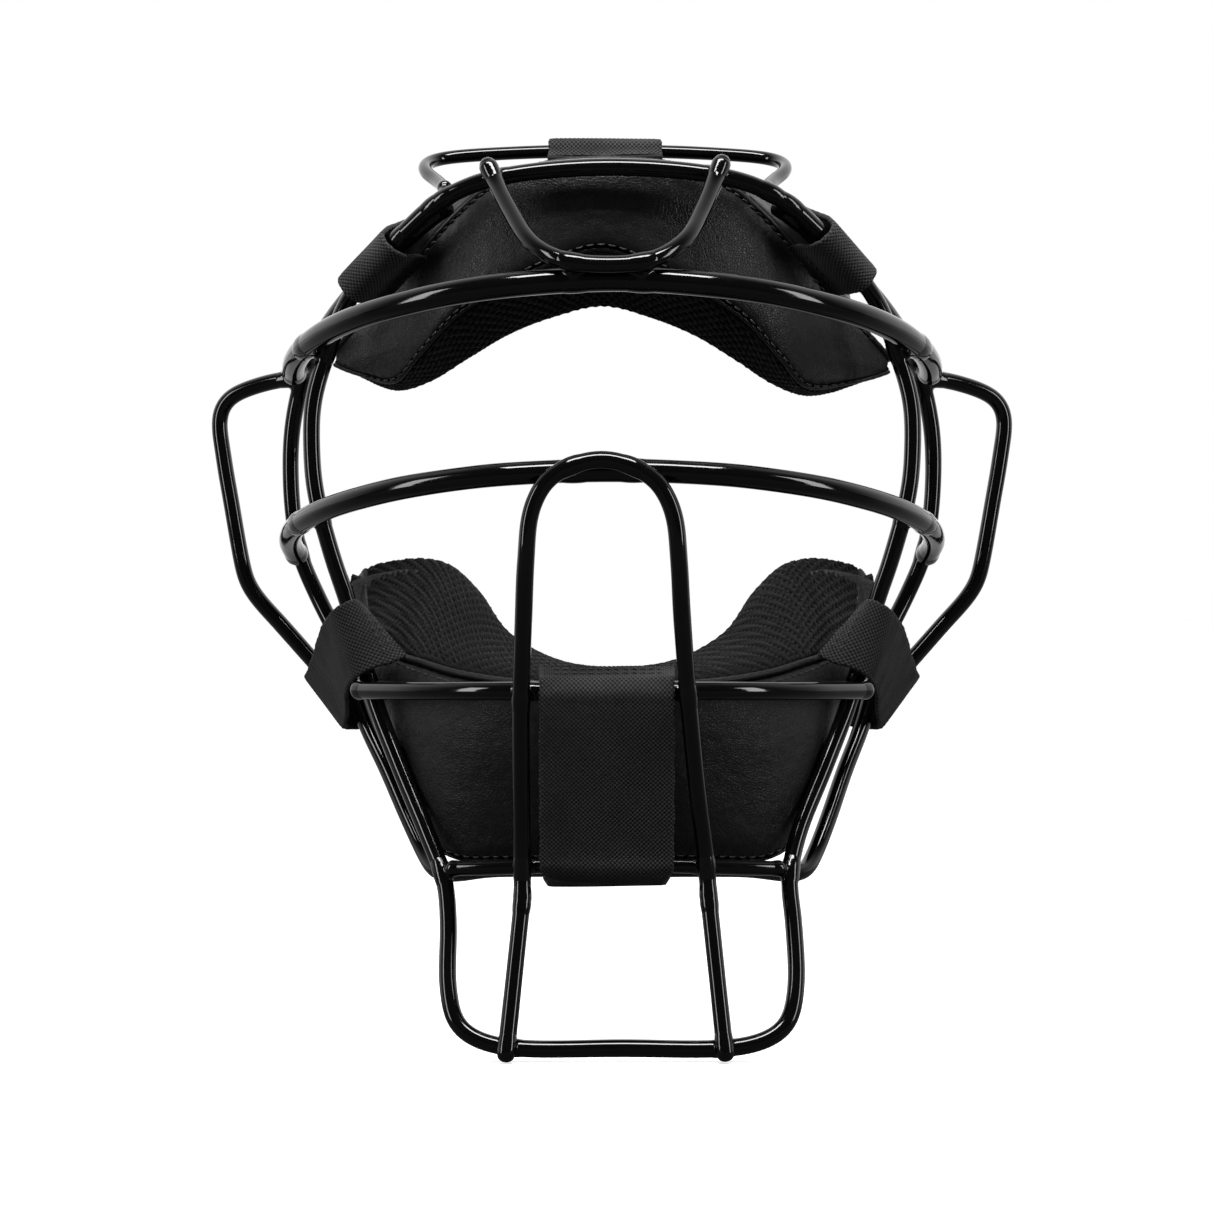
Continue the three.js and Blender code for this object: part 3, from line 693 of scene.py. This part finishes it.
def swell(name, form):
    """The form filled out between its seams by CROWN, and by what a cloth simulation with held seams and tips adds."""
    seams = np.zeros(form.shape[:2])
    seams[:, [0, FRONT_COLUMNS]] = 1
    seams[:3] = seams[-3:] = 1
    base = form - outward_normals(form) * INSET
    rows = np.arange(len(form))
    inner_rows = smooth_step(np.minimum(rows, rows[::-1]), 2, 11)[:, None, None]
    reach = np.abs(np.arange(COLUMNS)[:, None] - np.array([0, FRONT_COLUMNS, COLUMNS])[None]).min(1) / 8
    filled = base + outward_normals(base) * CROWN * np.sqrt(np.clip(reach, 0, 1))[None, :, None] * inner_rows
    points = closed_points(base)
    faces = closed_faces(*form.shape[:2])
    source = make(f"{name}_cloth", points, faces, LEATHER)
    held = source.vertex_groups.new(name="held")
    held.add(np.flatnonzero(seams.ravel()).tolist() + [len(points) - 2, len(points) - 1], 1.0, "REPLACE")
    cloth = source.modifiers.new("swell", "CLOTH")
    cloth.settings.quality = 6
    cloth.settings.mass = 0.2
    cloth.settings.tension_stiffness = cloth.settings.compression_stiffness = 10
    cloth.settings.shear_stiffness = 5
    cloth.settings.bending_stiffness = 6
    cloth.settings.vertex_group_mass = "held"
    cloth.settings.use_pressure = True
    cloth.settings.uniform_pressure_force = 4
    cloth.settings.effector_weights.gravity = 0
    cloth.collision_settings.use_collision = False
    cloth.point_cache.frame_start, cloth.point_cache.frame_end = 1, CLOTH_FRAMES
    for moment in range(1, CLOTH_FRAMES + 1):
        bpy.context.scene.frame_set(moment)
    result = source.evaluated_get(bpy.context.evaluated_depsgraph_get()).to_mesh()
    blown = np.zeros(len(points) * 3)
    result.vertices.foreach_get("co", blown)
    bpy.data.objects.remove(source)
    bpy.context.scene.frame_set(1)
    moved = blown.reshape(-1, 3)[:-2].reshape(form.shape) / MM - base
    held_rows = seams[..., None] == 1
    for _ in range(EASE_ROUNDS):
        eased = 0.25 * (np.roll(moved, 1, 1) + np.roll(moved, -1, 1)) + 0.5 * moved
        eased[1:-1] = 0.5 * eased[1:-1] + 0.25 * (eased[:-2] + eased[2:])
        moved = np.where(held_rows, moved, eased)
    far = np.linalg.norm(moved, axis=2, keepdims=True)
    print(name, "swells by up to", round(float(far.max()), 2), "mm, on average", round(float(far.mean()), 2))
    return filled + moved * inner_rows * np.tanh(far / SWELL_CAP) * SWELL_CAP / np.maximum(far, 1e-6)


def cubic_weights(count, marks, wrap):
    """The matrix that interpolates count samples at the marks."""
    matrix = np.zeros((len(marks), count))
    i = np.floor(marks).astype(int)
    if not wrap:
        i = np.minimum(i, count - 2)
    w = marks - i
    basis = ((-w**3 + 2 * w**2 - w) / 2, (3 * w**3 - 5 * w**2 + 2) / 2,
             (-3 * w**3 + 4 * w**2 + w) / 2, (w**3 - w**2) / 2)
    for k, share in enumerate(basis):
        index = (i + k - 1) % count if wrap else np.clip(i + k - 1, 0, count - 1)
        np.add.at(matrix, (np.arange(len(marks)), index), share)
    return matrix


def region(skin, rows, columns):
    """Points of the skin at fractional rows and columns."""
    along = cubic_weights(skin.shape[0], np.asarray(rows, float), False)
    around = cubic_weights(skin.shape[1], np.asarray(columns, float), True)
    rows_first = (along @ skin.reshape(skin.shape[0], -1)).reshape(len(along), -1, 3)
    return np.matmul(around, rows_first)


def shell(name, outer, inner, material, uv=None, values=None):
    """A closed sheet between two grids of the same shape."""
    rows, columns = outer.shape[:2]
    count = rows * columns
    points = np.concatenate([outer.reshape(-1, 3), inner.reshape(-1, 3)])
    top = grid_faces(rows, columns)
    edge = np.concatenate([np.arange(columns), np.arange(1, rows) * columns + columns - 1,
                           (rows - 1) * columns + np.arange(columns - 2, -1, -1), np.arange(rows - 2, 0, -1) * columns])
    after = np.roll(edge, -1)
    walls = np.stack([after, edge, edge + count, after + count], 1)
    if uv is not None:
        uv = np.concatenate([uv.reshape(-1, 2)] * 2)
    piece = make(name, points, [top, top[:, ::-1] + count, walls], material, uv)
    # values become the depth point attribute, which the spacer mesh material reads for its painted shade in the holes.
    if values is not None:
        attribute = piece.data.attributes.new("depth", "FLOAT", "POINT")
        attribute.data.foreach_set("value", np.concatenate([values.ravel(), np.zeros(count)]).astype(np.float32))
    return piece


def row_lengths(grid):
    steps = np.linalg.norm(np.diff(grid, axis=1), axis=2)
    return np.concatenate([np.zeros((grid.shape[0], 1)), np.cumsum(steps, axis=1)], 1)


def column_lengths(grid):
    return row_lengths(grid.transpose(1, 0, 2)).T


def soft_waves(x, y, seed):
    """A smooth uneven pattern between about -1 and 1."""
    pattern = 0
    rng = np.random.default_rng(seed)
    for _ in range(7):
        a, b, phase = rng.uniform(-1, 1), rng.uniform(-1, 1), rng.uniform(0, 6.28)
        pattern = pattern + np.sin(a * x + b * y + phase)
    return pattern / 3


def add_front_panel(name, skin, seed):
    """The leather front: puckered along its seams, with its edges turned under."""
    rows = np.linspace(1.2, PAD_ROWS - 2.2, 330)
    columns = np.linspace(0.12, FRONT_COLUMNS - 0.12, 84)
    grid = region(skin, rows, columns)
    normal = turned_out(grid_normals(grid, False), grid, region(skin, rows, [FRONT_COLUMNS + REAR_COLUMNS / 2]))
    across = row_lengths(grid)
    width = across[:, -1:]
    seam = np.minimum(across, width - across)
    along = column_lengths(grid)
    body = smooth_step(width, 4, 16) * smooth_step(np.minimum(rows, PAD_ROWS - 1 - rows), 2, 12)[:, None]
    ripple = np.sin(along * 1.35 + 1.3 * soft_waves(along * 0.13, across * 0.05, seed)) * np.exp(-seam / 2.6)
    folds = soft_waves(along * 0.09, across * 0.07, seed + 1) * smooth_step(seam, 1, 9)
    tuck = (0.3 + 0.7 * body) * np.exp(-(seam / 0.9) ** 2)
    height = (PUCKER * ripple + FOLD * folds) * body - tuck
    outer = grid + normal * height[..., None]
    inner = grid - normal * LEATHER_FABRIC
    uv = np.stack([along, across], 2)
    piece = shell(f"{name}_leather_front", outer, inner, LEATHER, uv)
    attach(piece, "cage")
    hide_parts(f"{name}_front_cover")


def add_mesh_back(name, skin):
    """The spacer mesh: rows of small oval holes between knitted ribs."""
    rows = np.linspace(0.6, PAD_ROWS - 1.6, 340)
    columns = np.linspace(FRONT_COLUMNS + 0.25, COLUMNS - 0.25, 420)
    dense = region(skin, rows, columns)
    run = row_lengths(dense)
    share = np.linspace(0, 1, MESH_COLUMNS)
    even_row = lambda points, lengths: np.stack([
        np.interp(share * lengths[-1], lengths, points[:, axis]) for axis in range(3)], 1)
    grid = np.stack([even_row(dense[k], run[k]) for k in range(len(rows))])
    normal = turned_out(grid_normals(grid, False), grid, region(skin, rows, [FRONT_COLUMNS / 2]))
    across = share[None] * run[:, -1:]
    centred = across - run[:, -1:] / 2
    along = np.broadcast_to(column_lengths(grid)[:, MESH_COLUMNS // 2][:, None], across.shape)
    line = np.round(centred / HOLE_RISE)
    shift = (line % 2) * 0.5
    cell = along / HOLE_PITCH - shift
    off = (cell - np.round(cell)) * HOLE_PITCH
    drop = centred - line * HOLE_RISE
    hole = 1 - smooth_step(np.sqrt((off / HOLE_LENGTH) ** 2 + (drop / HOLE_HEIGHT) ** 2), 0.55, 1.35)
    edge = np.minimum(across, run[:, -1:] - across)
    hole = hole * smooth_step(edge, 1.2, 2.2)
    rib = RIB_HEIGHT * np.cos(2 * math.pi * drop / HOLE_RISE)
    outer = grid + normal * (rib - HOLE_DEPTH * hole - 0.9 * np.exp(-(edge / 1.1) ** 2))[..., None]
    uv = np.stack([along, centred], 2)
    # The hole mask also goes into the depth attribute, which the material uses to paint shade into the holes.
    piece = shell(f"{name}_mesh_back", outer, grid - normal * MESH_FABRIC, MESH, uv, hole)
    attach(piece, "cage")
    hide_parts(f"{name}_mesh_cover")


def add_core(name, form):
    grid = (form - outward_normals(form) * FOAM_DEPTH)[FOAM_ROWS_LEFT_OFF:-FOAM_ROWS_LEFT_OFF]
    piece = make(f"{name}_foam_core", closed_points(grid), closed_faces(*grid.shape[:2]), FOAM)
    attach(piece, "cage")
    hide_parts(f"{name}_foam")


def add_patch(name, skin, rows, columns, lift, thickness=1.0):
    """A piece of leather sewn over part of the skin."""
    grid = region(skin, np.linspace(*rows, 90), np.linspace(*columns, 60))
    middle = skin[int(np.clip(np.mean(rows), 0, PAD_ROWS - 1))].mean(0)
    normal = turned_out(grid_normals(grid, False), grid, middle)
    u, v = np.meshgrid(np.linspace(-1, 1, 90), np.linspace(-1, 1, 60), indexing="ij")
    rim = np.exp(-((1 - np.abs(u)) / 0.05) ** 2) + np.exp(-((1 - np.abs(v)) / 0.07) ** 2)
    waves = 0.12 * soft_waves(u * 9, v * 7, 5)
    outer = grid + normal * (lift + waves - 0.5 * np.minimum(rim, 1))[..., None]
    piece = shell(name, outer, grid + normal * (lift - thickness), LEATHER, np.stack([u * 20, v * 20], 2))
    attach(piece, "cage")


def add_piping(name, skin, column, radius, lift=0.2):
    """A cord of leather sewn into a seam."""
    route = evenly(region(skin, np.linspace(1, PAD_ROWS - 2, 400), [column])[:, 0], 260)
    middle = evenly(region(skin, np.linspace(1, PAD_ROWS - 2, 400), np.arange(0, COLUMNS, 4)).mean(1), 260)
    route = route + unit(route - middle) * lift
    steps = lengths_along(route)
    points, faces = tube_mesh(route, radius * (1 + 0.05 * np.sin(steps * 1.9)), dome=1)
    piece = make(name, points, faces, LEATHER)
    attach(piece, "cage")


def add_stitches(name, line, lift, pitch=3.1, body="cage", size=0.27):
    """A row of thread stitches on a line of points, each pulled down at its ends."""
    run = lengths_along(line)
    starts = np.arange(pitch / 2, run[-1] - pitch, pitch)
    points, faces, base = [], [], 0
    for start in starts:
        marks = start + np.linspace(0, pitch * 0.68, 6)
        route = np.stack([np.interp(marks, run, line[:, k]) for k in range(3)], 1)
        arch = np.sin(np.linspace(0, math.pi, 6))
        up = np.stack([np.interp(marks, run, lift[:, k]) for k in range(3)], 1)
        p, sets = small_tube(route + up * (arch * 0.34 - 0.12)[:, None], size)
        points.append(p)
        faces += [f + base for f in sets]
        base += len(p)
    piece = make(name, np.concatenate(points), faces, THREAD)
    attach(piece, body)


def small_tube(route, radius):
    """A thin tube with eight sides and pointed ends."""
    tangent = unit(np.gradient(route, axis=0))
    side = unit(np.cross(tangent, (0.37, 0.51, 0.77)))
    other = np.cross(tangent, side)
    turn = np.linspace(0, 2 * math.pi, 8, endpoint=False)
    sizes = radius * np.array([0.55] + [1] * (len(route) - 2) + [0.55])
    rings = route[:, None] + sizes[:, None, None] * (
        np.cos(turn)[None, :, None] * side[:, None] + np.sin(turn)[None, :, None] * other[:, None])
    points = np.concatenate([rings.reshape(-1, 3), [route[0], route[-1]]])
    return points, closed_faces(len(route), 8)


def seam_line(skin, column, rows=(3, PAD_ROWS - 4)):
    """Points along the skin at a column, and the way out of the skin there."""
    marks = np.linspace(*rows, 400)
    grid = region(skin, marks, [column - 0.6, column, column + 0.6])
    middle = region(skin, marks, np.arange(0, COLUMNS, 4)).mean(1)
    return grid[:, 1], turned_out(grid_normals(grid, False)[:, 1], grid[:, 1], middle)


def add_cushion(name, stations, tilt, shifts, seed):
    form = pad_form(stations, tilt, shifts)
    skin = swell(name, form)
    add_front_panel(name, skin, seed)
    add_mesh_back(name, skin)
    add_core(name, form)
    add_piping(f"{name}_upper_piping", skin, FRONT_COLUMNS, 0.95)
    add_piping(f"{name}_lower_piping", skin, 0, 0.55)
    for column, tag in ((FRONT_COLUMNS - 1.1, "upper"), (1.1, "lower")):
        line, normal = seam_line(skin, column)
        add_stitches(f"{name}_{tag}_stitches", line, normal)
    return skin


brow_skin = add_cushion("brow_pad", BROW_STATIONS, BROW_TILT, BROW_SHIFTS, 3)
chin_skin = add_cushion("chin_pad", CHIN_STATIONS, 0, CHIN_SHIFTS, 8)
LAST_ROW = PAD_ROWS - 1
for tag, start, end in (("right", 10, 38), ("left", LAST_ROW - 38, LAST_ROW - 10)):
    add_patch(f"brow_gusset_{tag}", brow_skin, (start, end), (FRONT_COLUMNS + 0.5, FRONT_COLUMNS + 13), 0.5)
for tag, start, end in (("right", 0.8, 8), ("left", LAST_ROW - 8, LAST_ROW - 0.8)):
    add_patch(f"chin_tip_{tag}", chin_skin, (start, end), (FRONT_COLUMNS + 0.4, FRONT_COLUMNS + 20), 0.5)


# --- straps

def strap_frames(middles, widths, step):
    """Even steps along a strap: its middle line, the way across it, the way out of its outer face, and its length."""
    fine = np.linspace(0, 1, 60 * len(middles))
    line = spline(middles, fine)
    across = unit(spline(unit(np.asarray(widths, float)) * 100, fine))
    run = lengths_along(line)
    marks = np.linspace(0, run[-1], int(run[-1] / step) + 1)
    line = np.stack([np.interp(marks, run, line[:, k]) for k in range(3)], 1)
    across = unit(np.stack([np.interp(marks, run, across[:, k]) for k in range(3)], 1))
    out = unit(np.cross(across, np.gradient(line, axis=0)))
    return line, across, out, marks


def add_strap(name, middles, widths, width, curl=None):
    """A woven strap that is one piece from its sewn end to its tail.
    curl gives, for each place along it, how far its two edges bend inwards and how much narrower it is."""
    line, across, out, marks = strap_frames(middles, widths, WEAVE)
    count = int(width / WEAVE) | 1
    share = np.linspace(-1, 1, count)
    i, j = np.meshgrid(np.arange(len(marks)), np.arange(count), indexing="ij")
    weave = np.where((i + j) % 2 == 0, 1.0, -1.0)
    weave[:, [0, 1, -2, -1]] *= 0.3
    cup, pinch = (0 * marks, 0 * marks) if curl is None else curl(marks)
    half = width / 2 + 0.12 * np.sin(marks * 0.55) + 0.08 * np.sin(marks * 1.7) - pinch
    slump = 0.18 * soft_waves(marks[:, None] * 0.12, share[None] * 2.4, len(name))
    base = line[:, None] + across[:, None] * (half[:, None] * share[None])[..., None]
    base = base + out[:, None] * (slump - cup[:, None] * share[None] ** 6)[..., None]
    outer = base + out[:, None] * (WEBBING / 2 + 0.15 * weave)[..., None]
    inner = base - out[:, None] * (WEBBING / 2 - 0.06 * weave)[..., None]
    rim = 0.5
    left = base[:, :1] - across[:, None] * rim * WEBBING / 2
    right = base[:, -1:] + across[:, None] * rim * WEBBING / 2
    ring = np.concatenate([left, outer, right, inner[:, ::-1]], 1)
    columns = ring.shape[1]
    points = closed_points(ring)
    place = half[:, None] * share[None]
    uv_across = np.concatenate([place[:, :1], place, place[:, -1:], place[:, ::-1]], 1)
    uv = np.stack([uv_across, np.broadcast_to(marks[:, None], uv_across.shape)], 2).reshape(-1, 2)
    uv = np.concatenate([uv, [[0, 0], [0, marks[-1]]]])
    piece = make(f"{name}_webbing", points, closed_faces(len(marks), columns), WOVEN, uv)
    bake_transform(piece)
    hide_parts(f"{name}_sewn_part", f"{name}_tail")
    for number, place in enumerate((2.2, 4.6)):
        row = int(place / WEAVE)
        picks = slice(3, -3)
        add_stitches(f"{name}_stitches_{number + 1}", outer[row, picks], np.repeat(out[row][None], count - 6, 0), 2.6)


def plane_route(origin, first, second, pairs):
    return [np.array(origin) + a * np.array(first) + b * np.array(second) for a, b in pairs]


TOP_ROUTE = [
    (-41, 127.8), (-33, 127.8), (-27.4, 128.6), (-25, 131), (-24.2, 133.2), (-21.8, 134.2), (-19.4, 133),
    (-18.6, 129.5), (-19.8, 125.5), (-25, 120), (-32, 115), (-36.6, 109), (-37.8, 101)]
middles = plane_route((TOP_OFFSET, 0, 0), (0, 1, 0), (0, 0, 1), TOP_ROUTE)
add_strap("top_strap", middles, [(1, 0, 0)] * len(middles), TOP_STRAP)

CHIN_ROUTE = [
    (-83, -16.8), (-87.2, -18.9), (-90.4, -19.8), (-91.9, -22.8), (-91, -27), (-84, -48), (-77, -68.5),
    (-76.3, -71.8), (-74.9, -74.1), (-71.5, -75.3), (-62, -76.6), (-52.5, -77.5), (-44.4, -74.8), (-39.9, -68.5),
    (-39.3, -60), (-40.4, -51)]
CHIN_FOLD = 82  # where along it the chin strap turns back under the wires
middles = plane_route((-1.5, 0, 0), (0, 1, 0), (0, 0, 1), CHIN_ROUTE)
add_strap("chin_strap", middles, [(-1, 0, 0)] * len(middles), CHIN_STRAP,
          lambda marks: (2.2 * np.exp(-((marks - 71) / 6) ** 2), 2 * np.exp(-((marks - CHIN_FOLD) / 11) ** 2)))

ALONG = unit(np.array((0.638, 0.426, -0.638)))
TOWARD = np.array((-0.328, 0.904, 0.273))
TOWARD = unit(TOWARD - ALONG * (TOWARD @ ALONG))
OUTWARD = np.cross(ALONG, TOWARD)
UPPER_ROUTE = [
    (8.4, -8), (4, -6.2), (-0.8, -4.6), (-4, -2), (-4.2, 1), (-2.2, 3.7), (1.5, 4.6), (6, 4.8), (11, 4.5),
    (14, 4.3), (17, 4.2), (20, 4.2), (24, 4.2), (28, 4.2)]
CORNERS = {"left": np.array((64.8, -50.2, 98.7)), "right": np.array((67.4, -48.4, 96.1))}
REAR = (-0.58, -0.36, -0.73)
LOWER_STATIONS = [
    ((64.5, -40.5, -7), (-0.6, -0.45, -0.66)), ((69.8, -44.4, -7.4), (-0.36, -0.05, -0.93)),
    ((74.8, -43.4, -9.8), (-0.3, -0.02, -0.95)), ((79, -32, -14.4), (-0.36, -0.17, -0.92)),
    ((81.7, -14, -22.2), (-0.5, -0.3, -0.81)), ((83.5, -3, -26.5), REAR), ((84.2, 3, -27.8), REAR),
    ((82.4, 7.8, -28.2), REAR), ((78.2, 9.6, -27.9), REAR), ((73.4, 7.4, -27.2), REAR), ((70.4, 3, -27), REAR),
    ((68.6, -2.4, -27), REAR)]
lower = [np.array(p, float) for p, _ in LOWER_STATIONS]
lower_across = [np.array(w) for _, w in LOWER_STATIONS]
for side, tag in ((1, "left"), (-1, "right")):
    turn = np.array((side, 1, 1))
    upper = plane_route(CORNERS[tag], TOWARD, OUTWARD, UPPER_ROUTE)
    add_strap(f"upper_strap_{tag}", [p * turn for p in upper], [ALONG * turn * side] * len(upper), SIDE_STRAP)
    add_strap(f"lower_strap_{tag}", [p * turn for p in lower], [w * turn * side for w in lower_across], LOWER_STRAP)


# --- stage

scene = bpy.context.scene
scene.view_settings.view_transform = "Standard"

FLOOR_LEVEL = CAD_BOX[0].z - 0.0012
FLOOR_REACH = 60
floor_mesh = bpy.data.meshes.new("floor")
square = ((-1, -1), (1, -1), (1, 1), (-1, 1))
floor_mesh.from_pydata([(x * FLOOR_REACH, y * FLOOR_REACH, FLOOR_LEVEL) for x, y in square], [], [(0, 1, 2, 3)])
floor = bpy.data.objects.new("floor", floor_mesh)
scene.collection.objects.link(floor)
paper = Nodes("floor_paper")
grain = noise(paper, place_of(paper), 40, 4)
seen = paper.add("ShaderNodeLightPath").outputs["Is Camera Ray"]
behind = paper.add("ShaderNodeSeparateXYZ", None, Vector=place_of(paper)).outputs[1]
glow = paper.ramp(behind, -0.1, 0.8, 0.01, 0.7)
unseen = paper.math("SUBTRACT", 1.0, seen)
bright = paper.math("ADD", paper.math("MULTIPLY", seen, 0.55), paper.math("MULTIPLY", unseen, glow))
pale = paper.math("MULTIPLY", paper.ramp(grain, 0, 1, 0.84, 0.9), paper.ramp(seen, 0, 1, 0.05, 1.0))
floor_mesh.materials.append(paper.finish(Base_Color=paper.tint(pale, (0, 0, 0), (1, 1, 1)),
                                         Roughness=paper.ramp(grain, 0, 1, 0.85, 0.95), Specular_IOR_Level=0.1,
                                         Emission_Color=(1, 1, 1, 1), Emission_Strength=bright))


def add_light(name, place, aim, size, power):
    data = bpy.data.lights.new(name, "AREA")
    data.shape, data.size, data.size_y, data.energy = "RECTANGLE", size[0], size[1], power
    lamp = bpy.data.objects.new(name, data)
    lamp.location = place
    lamp.rotation_euler = (Vector(aim) - Vector(place)).to_track_quat("-Z", "Y").to_euler()
    scene.collection.objects.link(lamp)


add_light("top_softbox", (0, -0.55, 1.1), (0, -0.04, 0.02), (1.0, 0.3), 26)
add_light("left_strip", (1.15, -0.6, 0.25), (0, -0.04, 0), (0.22, 1.0), 6.5)
add_light("right_strip", (-1.15, -0.6, 0.25), (0, -0.04, 0), (0.22, 1.0), 6.5)

world = bpy.data.worlds.new("studio")
scene.world = world
world.use_nodes = True
nodes, links = world.node_tree.nodes, world.node_tree.links
background = nodes["Background"]
path = nodes.new("ShaderNodeLightPath")
direction = nodes.new("ShaderNodeTexCoord")
axes = nodes.new("ShaderNodeSeparateXYZ")
links.new(direction.outputs["Generated"], axes.inputs[0])
fade = nodes.new("ShaderNodeMapRange")
fade.interpolation_type = "SMOOTHSTEP"
links.new(axes.outputs[1], fade.inputs["Value"])
for key, value in (("From Min", -0.3), ("From Max", 0.6), ("To Min", 0.05), ("To Max", 1.2)):
    fade.inputs[key].default_value = value
pick = nodes.new("ShaderNodeMix")
pick.data_type = "FLOAT"
links.new(path.outputs["Is Camera Ray"], pick.inputs["Factor"])
links.new(fade.outputs["Result"], pick.inputs[2])
pick.inputs[3].default_value = 1.0
background.inputs["Color"].default_value = (1, 1, 1, 1)
links.new(pick.outputs[0], background.inputs["Strength"])

CAMERA = (-0.001465, -1.3, 0)
WIDTH_SEEN = 0.3557  # across the plane of the side wires
camera = bpy.data.objects.new("camera", bpy.data.cameras.new("camera"))
camera.data.sensor_width = 36
camera.data.lens = 36 * -CAMERA[1] / WIDTH_SEEN
camera.location = CAMERA
camera.rotation_euler = (math.radians(90), 0, 0)
camera.data.clip_start, camera.data.clip_end = 0.05, 40
scene.collection.objects.link(camera)
scene.camera = camera
